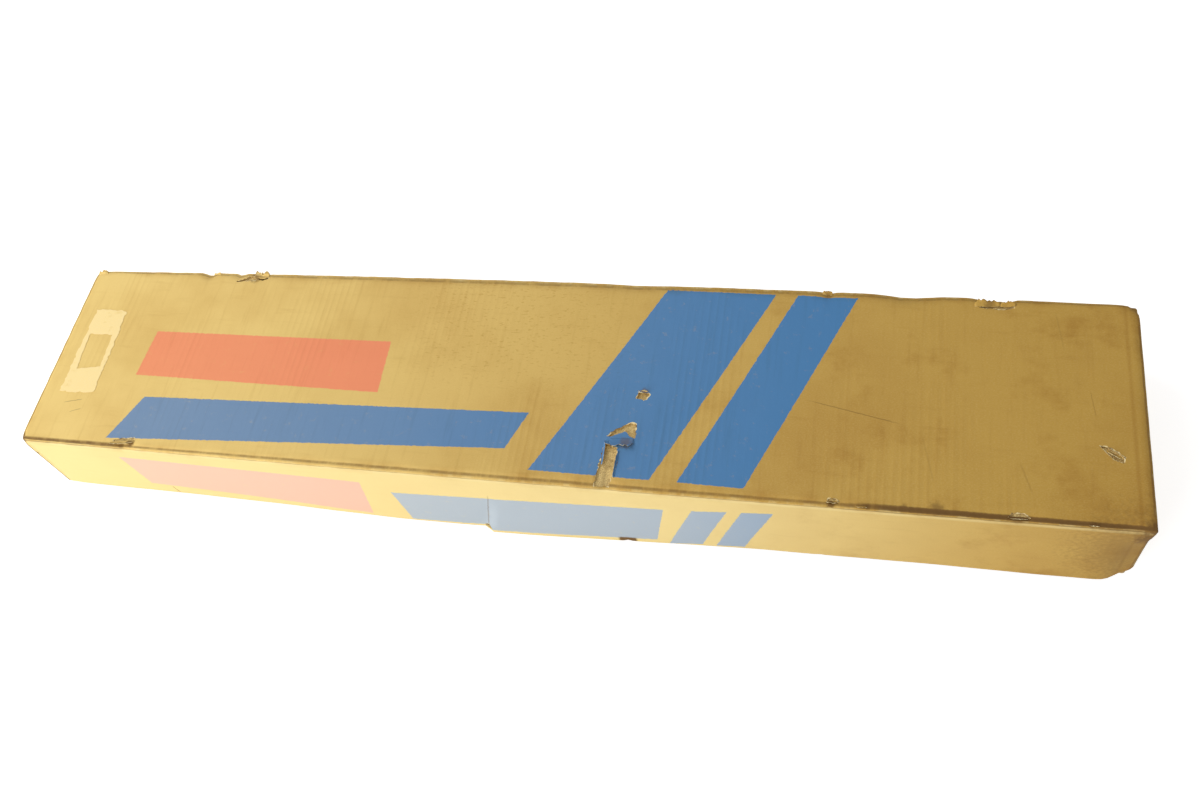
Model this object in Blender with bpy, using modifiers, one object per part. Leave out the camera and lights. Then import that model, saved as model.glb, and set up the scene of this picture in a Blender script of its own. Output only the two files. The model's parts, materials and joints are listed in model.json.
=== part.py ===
"""Flat-bed punch-card knitting machine, packed in its telescoping cardboard carton.

Frame: metres, +X to the right along the carton, +Y to the back, +Z up.
The origin is the centre of the carton's footprint, on the surface it stands on.
The lid covers the tray to its full depth. Inside, two foam blocks hold a steel case:
a pan that carries the needle bed, the carriage, the card reader and the accessories,
and a cover that is lifted off the pan.
"""

import math

import bmesh
import bpy
from mathutils import Matrix, Vector

# ---------------------------------------------------------------- driving dimensions
GAP = 0.0003  # running and resting gap between touching pieces
SPARE = 0.010  # how far a cutter runs past the piece that it cuts
WELD = 0.000001
SHARP = math.radians(35)

NEEDLES = 200
PITCH = 0.0045
BED_MARGIN = 0.015  # bed beyond the first and last needle
BED_DEPTH = 0.104
BED_HEIGHT = 0.0156
BED_SHEET = 0.002
NEEDLE_WIDTH = 0.0012
NEEDLE_THICK = 0.001
NEEDLE_SHORT = 0.010  # needles shorter than the bed is deep
NEEDLE_OVERHANG = 0.002  # hooks in front of the bed at rest
BUTT_BAR = 0.006
GATE_DEPTH = 0.0036
RAIL_HEIGHT = 0.0044  # front rail above the needles
RAIL_OVERRUN = 0.010  # rails beyond each end of the bed
END_CAP_LENGTH = 0.0702
END_CAP_HEIGHT = 0.034
CAP_CORNER = 0.005

PLATE_THICK = 0.002
CARRIAGE_LENGTH = 0.184
HOUSING_HEIGHT = 0.0304
HOUSING_WALL = 0.0022
ARM_THICK = 0.003
SPINDLE_FIT = 0.0005  # radial clearance of spindles and shafts in the housings

CARD_WIDTH = 0.142
CARD_UNIT_DEPTH = 0.037
CARD_UNIT_HEIGHT = 0.0486
PLASTIC = 0.002  # wall of the plastic housings

SHEET = 0.0015  # steel sheet of the pan and the cover
PAN_HEIGHT = 0.016
CASE_CORNER = 0.005  # outer corner radius of the pan
COVER_RISE = 0.0045  # the cover's rim stops this far above the pan's underside
HEAD_ROOM = 0.0285  # above the carriage housing, for its knobs
STOW_GAP = 0.001  # stowed pieces to the pan's wall
TOOL_MARGIN = 0.0015
TOOL_DEPTH = 0.0265
TOOL_LANE = 0.0026  # between the tool tray and the gate pegs
REAR_LANE = 0.015  # between the bed and the card reader
REAR_MARGIN = 0.0025
FOOT_HEIGHT = 0.005
FOOT_RADIUS = 0.009

BOARD = 0.004  # single-wall corrugated board
SKIRT_FIT = 0.0005  # between the lid's skirt and the tray's wall
SKIRT_RISE = 0.003  # the skirt stops this far above the floor
PAPER_ROOM = 0.005  # between the case and the lid, for the booklet and the cards
SIDE_ROOM = 0.0107  # between the case and the tray's long walls
FOAM_THICK = 0.0211
FOAM_TOP_DROP = 0.010  # foam top below the lid's board

# ---------------------------------------------------------------- derived lengths, along X
BED_HALF = NEEDLES * PITCH / 2 + BED_MARGIN
RAIL_HALF = BED_HALF + RAIL_OVERRUN
STOW_HALF = RAIL_HALF + GAP + END_CAP_LENGTH + STOW_GAP
PAN_HALF_LENGTH = STOW_HALF + SHEET
COVER_HALF_LENGTH = PAN_HALF_LENGTH + GAP + SHEET
TRAY_HALF_LENGTH = COVER_HALF_LENGTH + GAP + FOAM_THICK + GAP + BOARD
LID_HALF_LENGTH = TRAY_HALF_LENGTH + SKIRT_FIT + BOARD
CARD_UNIT_LENGTH = CARD_WIDTH + 0.038

# ---------------------------------------------------------------- derived depths, along Y
PAN_WIDTH = (
    SHEET + TOOL_MARGIN + TOOL_DEPTH + TOOL_LANE + GATE_DEPTH + GAP + BED_DEPTH
    + REAR_LANE + CARD_UNIT_DEPTH + REAR_MARGIN + SHEET
)
COVER_HALF_WIDTH = PAN_WIDTH / 2 + GAP + SHEET
TRAY_HALF_WIDTH = COVER_HALF_WIDTH + SIDE_ROOM + BOARD
LID_HALF_WIDTH = TRAY_HALF_WIDTH + SKIRT_FIT + BOARD
TOOL_FRONT = SHEET + TOOL_MARGIN - PAN_WIDTH / 2
BED_FRONT = TOOL_FRONT + TOOL_DEPTH + TOOL_LANE + GATE_DEPTH + GAP
BED_BACK = BED_FRONT + BED_DEPTH
NEEDLE_TIP = BED_FRONT - NEEDLE_OVERHANG
NEEDLE_BACK = NEEDLE_TIP + BED_DEPTH - NEEDLE_SHORT
CARD_UNIT_FRONT = BED_BACK + REAR_LANE
STOW_BACK = PAN_WIDTH / 2 - SHEET - STOW_GAP
HOUSING_FRONT = BED_FRONT + 0.018
HOUSING_BACK = BED_BACK + 0.006
ARM_FRONT = BED_FRONT - 0.0285

# ---------------------------------------------------------------- derived levels, along Z
PAN_BOTTOM = BOARD + GAP + FOOT_HEIGHT + GAP
DECK = PAN_BOTTOM + SHEET + GAP  # what stands in the pan starts here
BED_TOP = DECK + BED_HEIGHT
NEEDLE_BOTTOM = BED_TOP + GAP
NEEDLE_TOP = NEEDLE_BOTTOM + NEEDLE_THICK
RAIL_BOTTOM = NEEDLE_TOP + GAP
RAIL_TOP = RAIL_BOTTOM + RAIL_HEIGHT
PLATE_BOTTOM = RAIL_TOP + GAP
PLATE_TOP = PLATE_BOTTOM + PLATE_THICK
HOUSING_BOTTOM = PLATE_TOP + GAP
HOUSING_TOP = HOUSING_BOTTOM + HOUSING_HEIGHT
ARM_BOTTOM = PLATE_TOP + GAP
ARM_TOP = ARM_BOTTOM + ARM_THICK
COVER_TOP = HOUSING_TOP + HEAD_ROOM + SHEET
LID_UNDERSIDE = COVER_TOP + PAPER_ROOM
TRAY_TOP = LID_UNDERSIDE - GAP
LID_TOP = LID_UNDERSIDE + BOARD

# Local XY becomes world YZ, and local Z becomes world X.
ALONG_X = Matrix(((0, 0, 1, 0), (1, 0, 0, 0), (0, 1, 0, 0), (0, 0, 0, 1)))

PARTS = "knitting_machine"
CUTTERS = "cutters"

# name: (colour, roughness, metallic)
FINISHES = {
    "kraft_board": ((0.62, 0.43, 0.17), 0.85, 0.0),
    "foam": ((0.90, 0.90, 0.88), 0.9, 0.0),
    "paper": ((0.82, 0.78, 0.66), 0.8, 0.0),
    "card_plastic": ((0.70, 0.74, 0.78), 0.4, 0.0),
    "cream_enamel": ((0.74, 0.69, 0.55), 0.4, 0.3),
    "bright_steel": ((0.62, 0.63, 0.64), 0.3, 1.0),
    "zinc_steel": ((0.50, 0.51, 0.52), 0.45, 1.0),
    "cream_plastic": ((0.78, 0.73, 0.60), 0.45, 0.0),
    "blue_plastic": ((0.10, 0.24, 0.42), 0.4, 0.0),
    "dark_plastic": ((0.05, 0.05, 0.06), 0.5, 0.0),
    "grey_plastic": ((0.35, 0.36, 0.37), 0.5, 0.0),
    "rubber": ((0.03, 0.03, 0.03), 0.8, 0.0),
    "nylon_brush": ((0.07, 0.07, 0.08), 0.7, 0.0),
}


# ---------------------------------------------------------------- modelling helpers
def clear_scene():
    for obj in list(bpy.data.objects):
        bpy.data.objects.remove(obj, do_unlink=True)


def make_collections():
    for name in (PARTS, CUTTERS):
        bpy.context.scene.collection.children.link(bpy.data.collections.new(name))


def make_materials():
    for name, (colour, roughness, metallic) in FINISHES.items():
        material = bpy.data.materials.new(name)
        material.use_nodes = True
        shader = material.node_tree.nodes["Principled BSDF"]
        shader.inputs["Base Color"].default_value = (*colour, 1.0)
        shader.inputs["Roughness"].default_value = roughness
        shader.inputs["Metallic"].default_value = metallic


def link(name, data, finish, place=Matrix()):
    """A named part, or a cutter where finish is None."""
    obj = bpy.data.objects.new(name, data)
    bpy.data.collections[PARTS if finish else CUTTERS].objects.link(obj)
    if finish:
        data.materials.append(bpy.data.materials[finish])
    else:
        obj.hide_render = True
        obj.display_type = "WIRE"
    obj.matrix_world = place
    return obj


def bevel(obj, width, segments=1):
    modifier = obj.modifiers.new("Bevel", "BEVEL")
    modifier.width = width
    modifier.segments = segments
    modifier.limit_method = "ANGLE"
    return obj


def box_mesh(name, size):
    mesh = bpy.data.meshes.new(name)
    bm = bmesh.new()
    bmesh.ops.create_cube(bm, size=1.0)
    bmesh.ops.scale(bm, vec=size, verts=bm.verts)
    bm.to_mesh(mesh)
    bm.free()
    return mesh


def block(name, low, high, finish, edge=0.0):
    """A box between two corners, with its origin at its centre."""
    low, high = Vector(low), Vector(high)
    mesh = box_mesh(name, high - low)
    obj = link(name, mesh, finish, Matrix.Translation((low + high) / 2))
    return bevel(obj, edge) if edge else obj


def is_upright(edge):
    way = edge.verts[1].co - edge.verts[0].co
    return abs(way.z) > 0.9 * way.length


def shell(name, low, high, wall, open_side, finish, edge=0.0, segments=2, upright_only=False):
    """A box of one wall thickness, open at its top (open_side 1) or bottom (-1)."""
    obj = block(name, low, high, finish)
    bm = bmesh.new()
    bm.from_mesh(obj.data)
    bm.normal_update()
    gone = [f for f in bm.faces if f.normal.z * open_side > 0.9]
    bmesh.ops.delete(bm, geom=gone, context="FACES")
    if edge:
        rounded = [e for e in bm.edges if len(e.link_faces) == 2 and (is_upright(e) or not upright_only)]
        bmesh.ops.bevel(bm, geom=rounded, offset=edge, segments=segments, affect="EDGES", profile=0.5)
    bm.to_mesh(obj.data)
    bm.free()
    solid = obj.modifiers.new("Wall", "SOLIDIFY")
    solid.thickness = wall
    solid.offset = -1.0
    solid.use_even_offset = True
    return obj


def as_mesh(obj):
    """The same part as a plain mesh with welded caps, so that a Boolean can use it."""
    graph = bpy.context.evaluated_depsgraph_get()
    mesh = bpy.data.meshes.new_from_object(obj.evaluated_get(graph))
    bm = bmesh.new()
    bm.from_mesh(mesh)
    bmesh.ops.remove_doubles(bm, verts=bm.verts, dist=WELD)
    bm.to_mesh(mesh)
    bm.free()
    name, place, hidden = obj.name, obj.matrix_world.copy(), obj.hide_render
    bpy.data.objects.remove(obj, do_unlink=True)
    made = bpy.data.objects.new(name, mesh)
    bpy.data.collections[CUTTERS if hidden else PARTS].objects.link(made)
    made.hide_render = hidden
    made.display_type = "WIRE" if hidden else "TEXTURED"
    made.matrix_world = place
    return made


def smooth(obj):
    """A round piece as a mesh, shaded smooth up to its sharp edges."""
    obj = as_mesh(obj)
    obj.data.shade_smooth()
    obj.data.set_sharp_from_angle(angle=SHARP)
    return obj


def turned(name, profile, finish, place, steps=24, ring=False):
    """Radius and height pairs, down the outer side, turned about local Z."""
    mesh = bpy.data.meshes.new(name)
    edges = [(i, i + 1) for i in range(len(profile) - 1)]
    if ring:
        edges.append((len(profile) - 1, 0))
    mesh.from_pydata([(radius, 0.0, height) for radius, height in profile], edges, [])
    obj = link(name, mesh, finish, place)
    screw = obj.modifiers.new("Turn", "SCREW")
    screw.steps = screw.render_steps = steps
    screw.use_merge_vertices = True
    screw.merge_threshold = WELD
    return smooth(obj)


def rod(name, radius, start, end, finish, steps=16):
    """A round bar between two points."""
    start, end = Vector(start), Vector(end)
    way = end - start
    mesh = bpy.data.meshes.new(name)
    bm = bmesh.new()
    bmesh.ops.create_cone(
        bm, cap_ends=True, segments=steps, radius1=radius, radius2=radius, depth=way.length
    )
    bm.to_mesh(mesh)
    bm.free()
    turn = way.to_track_quat("Z", "Y").to_matrix().to_4x4()
    return smooth(link(name, mesh, finish, Matrix.Translation((start + end) / 2) @ turn))


def circle(centre, radius, steps=16):
    angles = [2 * math.pi * i / steps for i in range(steps)]
    return [(centre[0] + radius * math.cos(a), centre[1] + radius * math.sin(a)) for a in angles]


def rectangle(low, high):
    return [low, (high[0], low[1]), high, (low[0], high[1])]


def plate(name, outline, thickness, finish, place, holes=()):
    """A flat outline in local XY with holes, extruded about its middle along local Z."""
    curve = bpy.data.curves.new(name, "CURVE")
    curve.dimensions = "2D"
    curve.fill_mode = "BOTH"
    curve.extrude = thickness / 2
    for points in (outline, *holes):
        spline = curve.splines.new("POLY")
        spline.points.add(len(points) - 1)
        for point, (x, y) in zip(spline.points, points):
            point.co = (x, y, 0.0, 1.0)
        spline.use_cyclic_u = True
    return link(name, curve, finish, place)


def level(z_low, z_high):
    """The place and thickness of a plate that lies between two heights."""
    return Matrix.Translation((0, 0, (z_low + z_high) / 2)), z_high - z_low


def bar(name, outline, x_low, x_high, finish):
    """An outline in YZ, extruded along X."""
    place = Matrix.Translation(((x_low + x_high) / 2, 0, 0)) @ ALONG_X
    return plate(name, outline, x_high - x_low, finish, place)


def bent_path(corners, radius, steps=5):
    """The points of a path whose inner corners are rounded to one radius."""
    corners = [Vector(c) for c in corners]
    path = [corners[0]]
    for before, corner, after in zip(corners, corners[1:], corners[2:]):
        to_before = (before - corner).normalized()
        to_after = (after - corner).normalized()
        half = to_before.angle(to_after) / 2
        centre = corner + (to_before + to_after).normalized() * radius / math.sin(half)
        start = corner + to_before * radius / math.tan(half) - centre
        end = corner + to_after * radius / math.tan(half) - centre
        path += [centre + radius * start.slerp(end, i / steps).normalized() for i in range(steps + 1)]
    return path + [corners[-1]]


def wire(name, points, radius, finish, place=Matrix(), sides=2):
    curve = bpy.data.curves.new(name, "CURVE")
    curve.dimensions = "3D"
    curve.bevel_depth = radius
    curve.bevel_resolution = sides
    curve.use_fill_caps = True
    spline = curve.splines.new("POLY")
    spline.points.add(len(points) - 1)
    for point, co in zip(spline.points, points):
        point.co = (*co, 1.0)
    return smooth(link(name, curve, finish, place))


def boolean(obj, other, operation):
    modifier = obj.modifiers.new(operation.title(), "BOOLEAN")
    modifier.operation = operation
    modifier.object = other
    return obj


def cut(obj, *cutters):
    for cutter in cutters:
        boolean(obj, cutter, "DIFFERENCE")
    return obj


def join(obj, *others):
    """Helpers made with finish None become part of obj."""
    for other in others:
        boolean(obj, other, "UNION")
    return obj


# ---------------------------------------------------------------- carton and packing
def carton():
    shell(
        "carton_lid", (-LID_HALF_LENGTH, -LID_HALF_WIDTH, SKIRT_RISE),
        (LID_HALF_LENGTH, LID_HALF_WIDTH, LID_TOP), BOARD, -1, "kraft_board",
    )
    shell(
        "carton_tray", (-TRAY_HALF_LENGTH, -TRAY_HALF_WIDTH, 0.0),
        (TRAY_HALF_LENGTH, TRAY_HALF_WIDTH, TRAY_TOP), BOARD, 1, "kraft_board",
    )


def foam_ends():
    inner = COVER_HALF_LENGTH + GAP
    outer = TRAY_HALF_LENGTH - BOARD - GAP
    side = TRAY_HALF_WIDTH - BOARD - GAP
    bottom, top = BOARD + GAP, LID_UNDERSIDE - FOAM_TOP_DROP
    grip_half, grip_depth, grip_corner = 0.045, 0.025, 0.008
    for name, sign in (("foam_end_left", -1), ("foam_end_right", 1)):
        low_x, high_x = sorted((sign * inner, sign * outer))
        foam = block(name, (low_x, -side, bottom), (high_x, side, top), "foam")
        grip = block(
            name + "_grip", (low_x - SPARE, -grip_half, top - grip_depth),
            (high_x + SPARE, grip_half, top + SPARE), None, edge=grip_corner,
        )
        cut(foam, grip)


def papers():
    bottom = COVER_TOP + GAP
    for name, centre_x, length, width, thick, finish in (
        ("instruction_booklet", -0.250, 0.210, 0.148, 0.003, "paper"),
        ("punch_card_pack", 0.200, 0.300, CARD_WIDTH, 0.002, "card_plastic"),
    ):
        block(
            name, (centre_x - length / 2, -width / 2, bottom),
            (centre_x + length / 2, width / 2, bottom + thick), finish,
        )


# ---------------------------------------------------------------- case
def case_pan():
    half = (PAN_HALF_LENGTH, PAN_WIDTH / 2)
    shell(
        "base_pan", (-half[0], -half[1], PAN_BOTTOM), (*half, PAN_BOTTOM + PAN_HEIGHT), SHEET, 1,
        "cream_enamel", edge=CASE_CORNER, upright_only=True,
    )
    inset_x, inset_y, taper = 0.048, 0.018, 0.85
    for name, side_x, side_y in (
        ("foot_front_left", -1, -1), ("foot_front_right", 1, -1),
        ("foot_rear_left", -1, 1), ("foot_rear_right", 1, 1),
    ):
        x, y = side_x * (half[0] - inset_x), side_y * (half[1] - inset_y)
        profile = [
            (0, FOOT_HEIGHT), (FOOT_RADIUS, FOOT_HEIGHT), (FOOT_RADIUS * taper, 0), (0, 0),
        ]
        turned(name, profile, "rubber", Matrix.Translation((x, y, BOARD + GAP)), steps=20)


def case_cover():
    half = (COVER_HALF_LENGTH, COVER_HALF_WIDTH)
    shell(
        "case_cover", (-half[0], -half[1], PAN_BOTTOM + COVER_RISE), (*half, COVER_TOP), SHEET, -1,
        "cream_enamel", edge=CASE_CORNER + GAP + SHEET,
    )


def cover_fittings():
    """Strap handle and sliding catches, on the cover's front wall."""
    face = -COVER_HALF_WIDTH - GAP
    strap_half, strap_low, strap_high, strap_thick = 0.075, 0.047, 0.069, 0.0035
    strap_edge, cap_edge, catch_edge = 0.0010, 0.0015, 0.0006
    block(
        "carry_strap", (-strap_half, face - strap_thick, strap_low), (strap_half, face, strap_high),
        "dark_plastic", edge=strap_edge,
    )
    cap_length, cap_thick, cap_lip = 0.026, 0.006, 0.002
    for name, sign in (("strap_cap_left", -1), ("strap_cap_right", 1)):
        low_x, high_x = sorted((sign * (strap_half + GAP), sign * (strap_half + cap_length)))
        block(
            name, (low_x, face - cap_thick, strap_low - cap_lip), (high_x, face, strap_high + cap_lip),
            "bright_steel", edge=cap_edge,
        )
    catch_x, catch_half, catch_low, catch_high, catch_thick = 0.350, 0.016, 0.018, 0.036, 0.003
    rib_half, rib_thick, rib_inset = 0.004, 0.0024, 0.004
    for name, sign in (("catch_left", -1), ("catch_right", 1)):
        x = sign * catch_x
        catch = block(
            name, (x - catch_half, face - catch_thick, catch_low), (x + catch_half, face, catch_high),
            "bright_steel", edge=catch_edge,
        )
        rib = block(
            name + "_rib", (x - rib_half, face - catch_thick - rib_thick, catch_low + rib_inset),
            (x + rib_half, face - catch_thick / 2, catch_high - rib_inset), None,
        )
        join(catch, rib)


# ---------------------------------------------------------------- needle bed
def needle_bed():
    """An inverted channel: the top plate with the two flanges that stand on the pan."""
    low, top = DECK, BED_TOP
    front, back, sheet = BED_FRONT, BED_BACK, BED_SHEET
    outline = [
        (front, low), (front + sheet, low), (front + sheet, top - sheet), (back - sheet, top - sheet),
        (back - sheet, low), (back, low), (back, top), (front, top),
    ]
    bar("needle_bed", outline, -BED_HALF, BED_HALF, "zinc_steel")


def needle_row():
    """All the needles as one comb, joined behind their butts."""
    back = NEEDLE_BACK
    half_needle = NEEDLE_WIDTH / 2
    first = -(NEEDLES - 1) * PITCH / 2
    outline = [(-first + half_needle, back + BUTT_BAR), (first - half_needle, back + BUTT_BAR)]
    for i in range(NEEDLES):
        x = first + i * PITCH
        outline += [(x - half_needle, NEEDLE_TIP), (x + half_needle, NEEDLE_TIP)]
        if i < NEEDLES - 1:
            outline += [(x + half_needle, back), (x + PITCH - half_needle, back)]
    place, thickness = level(NEEDLE_BOTTOM, NEEDLE_TOP)
    plate("needle_row", outline, thickness, "bright_steel", place)


def rails():
    retainer_front, retainer_depth, retainer_height = BED_FRONT + 0.018, 0.008, 0.0024
    retainer_half = BED_HALF + RAIL_OVERRUN / 2
    block(
        "needle_retainer", (-retainer_half, retainer_front, RAIL_BOTTOM),
        (retainer_half, retainer_front + retainer_depth, RAIL_BOTTOM + retainer_height), "bright_steel",
    )
    rail_front, rail_depth = BED_FRONT + 0.006, 0.006
    block(
        "front_rail", (-RAIL_HALF, rail_front, RAIL_BOTTOM), (RAIL_HALF, rail_front + rail_depth, RAIL_TOP),
        "bright_steel",
    )
    low_y = BED_BACK + GAP
    foot_depth, foot_height = 0.010, 0.002
    outline = [
        (low_y, DECK), (low_y + foot_depth, DECK), (low_y + foot_depth, DECK + foot_height),
        (low_y + rail_depth, DECK + foot_height), (low_y + rail_depth, RAIL_TOP), (low_y, RAIL_TOP),
    ]
    bar("rear_rail", outline, -RAIL_HALF, RAIL_HALF, "bright_steel")
    gate_drop = 0.0008
    high_y = BED_FRONT - GAP
    block(
        "gate_peg_rail", (-BED_HALF, high_y - GATE_DEPTH, DECK), (BED_HALF, high_y, BED_TOP - gate_drop),
        "bright_steel",
    )


def end_caps():
    inner = RAIL_HALF + GAP
    outer = inner + END_CAP_LENGTH
    front, back = BED_FRONT - 0.004, BED_BACK + 0.008
    for name, sign in (("end_cap_left", -1), ("end_cap_right", 1)):
        low_x, high_x = sorted((sign * inner, sign * outer))
        shell(
            name, (low_x, front, DECK), (high_x, back, DECK + END_CAP_HEIGHT), PLASTIC, -1,
            "cream_plastic", edge=CAP_CORNER,
        )


# ---------------------------------------------------------------- card reader
CARD_AXIS = (CARD_UNIT_FRONT + CARD_UNIT_DEPTH / 2, DECK + 0.0286)  # Y and Z
LEVER_AXIS = (CARD_AXIS[0] + 0.0085, DECK + 0.0146)
SHAFT_RADIUS = 0.003


def card_housing():
    half = CARD_UNIT_LENGTH / 2
    front, back = CARD_UNIT_FRONT, CARD_UNIT_FRONT + CARD_UNIT_DEPTH
    top = DECK + CARD_UNIT_HEIGHT
    corner, margin = 0.003, 0.006
    housing = shell(
        "card_housing", (-half, front, DECK), (half, back, top), PLASTIC, -1, "cream_plastic", edge=corner,
    )
    window_half = CARD_WIDTH / 2 + PLASTIC
    window = block(
        "card_window", (-window_half, front + margin, top - SPARE),
        (window_half, back - margin, top + SPARE), None,
    )
    bearing = rod(
        "card_shaft_hole", SHAFT_RADIUS + SPINDLE_FIT, (-half - SPARE, *CARD_AXIS),
        (half + SPARE, *CARD_AXIS), None,
    )
    lever_hole = rod(
        "card_lever_hole", SHAFT_RADIUS + SPINDLE_FIT, (-half - SPARE, *LEVER_AXIS),
        (-half + SPARE, *LEVER_AXIS), None,
    )
    cut(housing, window, bearing, lever_hole)


def card_roller():
    half = CARD_UNIT_LENGTH / 2
    left_end, right_end = -half - 0.0015, half + 0.004
    roller_radius, roller_half = 0.013, CARD_WIDTH / 2 + 0.0035
    profile = [
        (0, right_end), (SHAFT_RADIUS, right_end), (SHAFT_RADIUS, roller_half), (roller_radius, roller_half),
        (roller_radius, -roller_half), (SHAFT_RADIUS, -roller_half), (SHAFT_RADIUS, left_end), (0, left_end),
    ]
    place = Matrix.Translation((0, *CARD_AXIS)) @ ALONG_X
    turned("card_roller", profile, "dark_plastic", place)

    knob_radius, knob_width, edge = 0.012, 0.012, 0.001
    low, high = right_end + GAP, right_end + GAP + knob_width
    profile = [
        (0, high), (knob_radius - edge, high), (knob_radius, high - edge), (knob_radius, low), (0, low),
    ]
    turned("card_feed_knob", profile, "blue_plastic", place)


def card_stop_lever():
    """A flat lever outside the housing, on a pin through its wall."""
    reach, thick, root, tip, stub, clear = 0.029, 0.003, 0.0045, 0.0030, 0.006, 0.0033
    wall = -CARD_UNIT_LENGTH / 2
    middle = wall - clear - thick / 2
    outline = [(-root, -root), (root, -root), (tip, reach), (-tip, reach)]
    place = Matrix.Translation((middle, *LEVER_AXIS)) @ ALONG_X
    lever = plate("card_stop_lever", outline, thick, "blue_plastic", place)
    pin = rod("card_lever_pin", SHAFT_RADIUS, (middle, *LEVER_AXIS), (wall + stub, *LEVER_AXIS), None)
    join(as_mesh(lever), pin)


# ---------------------------------------------------------------- row counter
COUNTER_LEFT = CARD_UNIT_LENGTH / 2 + 0.040
COUNTER_RIGHT = COUNTER_LEFT + 0.040
COUNTER_FRONT = CARD_UNIT_FRONT + 0.001
COUNTER_BACK = COUNTER_FRONT + 0.028
COUNTER_HEIGHT = 0.0366
COUNTER_AXIS = ((COUNTER_FRONT + COUNTER_BACK) / 2, DECK + 0.0226)  # Y and Z
WHEEL_WIDTH, WHEEL_RADIUS, WHEEL_SHAFT = 0.008, 0.011, 0.002
WHEELS = ("counter_wheel_hundreds", "counter_wheel_tens", "counter_wheel_units")
FIRST_WHEEL = COUNTER_LEFT + PLASTIC + 0.0045


def counter_housing():
    corner, window_half = 0.002, 0.006
    top = DECK + COUNTER_HEIGHT
    housing = shell(
        "counter_housing", (COUNTER_LEFT, COUNTER_FRONT, DECK), (COUNTER_RIGHT, COUNTER_BACK, top), PLASTIC,
        -1, "blue_plastic", edge=corner,
    )
    last = FIRST_WHEEL + len(WHEELS) * (WHEEL_WIDTH + GAP) - GAP
    window = block(
        "counter_window", (FIRST_WHEEL, COUNTER_AXIS[0] - window_half, top - SPARE),
        (last, COUNTER_AXIS[0] + window_half, top + SPARE), None,
    )
    bearing = rod(
        "counter_shaft_hole", WHEEL_SHAFT + SPINDLE_FIT, (COUNTER_LEFT - SPARE, *COUNTER_AXIS),
        (COUNTER_RIGHT + SPARE, *COUNTER_AXIS), None,
    )
    cut(housing, window, bearing)


def counter_wheels():
    bore = WHEEL_SHAFT + GAP
    profile = [(WHEEL_RADIUS, WHEEL_WIDTH), (WHEEL_RADIUS, 0), (bore, 0), (bore, WHEEL_WIDTH)]
    for i, name in enumerate(WHEELS):
        place = Matrix.Translation((FIRST_WHEEL + i * (WHEEL_WIDTH + GAP), *COUNTER_AXIS)) @ ALONG_X
        turned(name, profile, "dark_plastic", place, steps=20, ring=True)


def counter_reset():
    """The reset knob with the shaft that the wheels run on."""
    radius, width, edge, stub = 0.009, 0.011, 0.001, 0.001
    start, end = COUNTER_LEFT - stub, COUNTER_RIGHT + GAP
    profile = [
        (0, end + width), (radius - edge, end + width), (radius, end + width - edge), (radius, end),
        (WHEEL_SHAFT, end), (WHEEL_SHAFT, start), (0, start),
    ]
    turned("counter_reset_knob", profile, "cream_plastic", Matrix.Translation((0, *COUNTER_AXIS)) @ ALONG_X)


# ---------------------------------------------------------------- carriage
ARM_LENGTH = CARRIAGE_LENGTH - 0.014
ARM_CORNER = 0.012
SCREW_X, SCREW_Y, SCREW_SHANK = ARM_LENGTH / 2 - 0.025, HOUSING_FRONT - 0.0075, 0.002
BRUSH_X, BRUSH_Y, BRUSH_PIN = SCREW_X - 0.015, BED_FRONT - 0.016, 0.002
FEED_Y, FEED_RADIUS = BED_FRONT - 0.024, 0.003
DIAL_Y, DIAL_RADIUS, DIAL_SPINDLE = HOUSING_FRONT + 0.036, 0.022, 0.004
LEVER_X, LEVER_Y, LEVER_SPINDLE = CARRIAGE_LENGTH / 2 - 0.022, HOUSING_BACK - 0.028, 0.003
CAM_X, CAM_Y, CAM_RADIUS, CAM_SPINDLE = LEVER_X - 0.034, HOUSING_BACK - 0.018, 0.010, 0.003
HANDLE_RADIUS, HANDLE_BEND = 0.0045, 0.006
HANDLE_CATCH = 0.0018  # the pivots' reach past the housing's wall
HANDLE_CLEAR = 0.0036  # the folded handle over the thumb screws
HANDLE_SIDE = CARRIAGE_LENGTH / 2 + 0.008
HANDLE_Y, HANDLE_Z = HOUSING_BACK - 0.012, HOUSING_TOP - 0.008
HANDLE_REACH = HANDLE_Y - HOUSING_FRONT + 0.012


def carriage_plate():
    lip, front = 0.003, BED_FRONT + 0.004
    half, back = CARRIAGE_LENGTH / 2 + lip, HOUSING_BACK + lip
    place, thickness = level(PLATE_BOTTOM, PLATE_TOP)
    holes = [circle((side * SCREW_X, SCREW_Y), SCREW_SHANK + GAP, 12) for side in (-1, 1)]
    plate("carriage_plate", rectangle((-half, front), (half, back)), thickness, "zinc_steel", place, holes)


def carriage_housing():
    half, corner = CARRIAGE_LENGTH / 2, 0.007
    housing = shell(
        "carriage_housing", (-half, HOUSING_FRONT, HOUSING_BOTTOM), (half, HOUSING_BACK, HOUSING_TOP),
        HOUSING_WALL, -1, "cream_plastic", edge=corner, segments=3,
    )
    for name, x, y, radius in (
        ("dial_hole", 0.0, DIAL_Y, DIAL_SPINDLE),
        ("cam_hole", CAM_X, CAM_Y, CAM_SPINDLE),
        ("lever_hole_left", -LEVER_X, LEVER_Y, LEVER_SPINDLE),
        ("lever_hole_right", LEVER_X, LEVER_Y, LEVER_SPINDLE),
    ):
        cut(housing, rod(
            name, radius + SPINDLE_FIT, (x, y, HOUSING_TOP - SPARE), (x, y, HOUSING_TOP + SPARE), None,
        ))
    pivot = rod(
        "handle_pivot_hole", HANDLE_RADIUS + SPINDLE_FIT, (-half - SPARE, HANDLE_Y, HANDLE_Z),
        (half + SPARE, HANDLE_Y, HANDLE_Z), None,
    )
    cut(housing, pivot)


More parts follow.
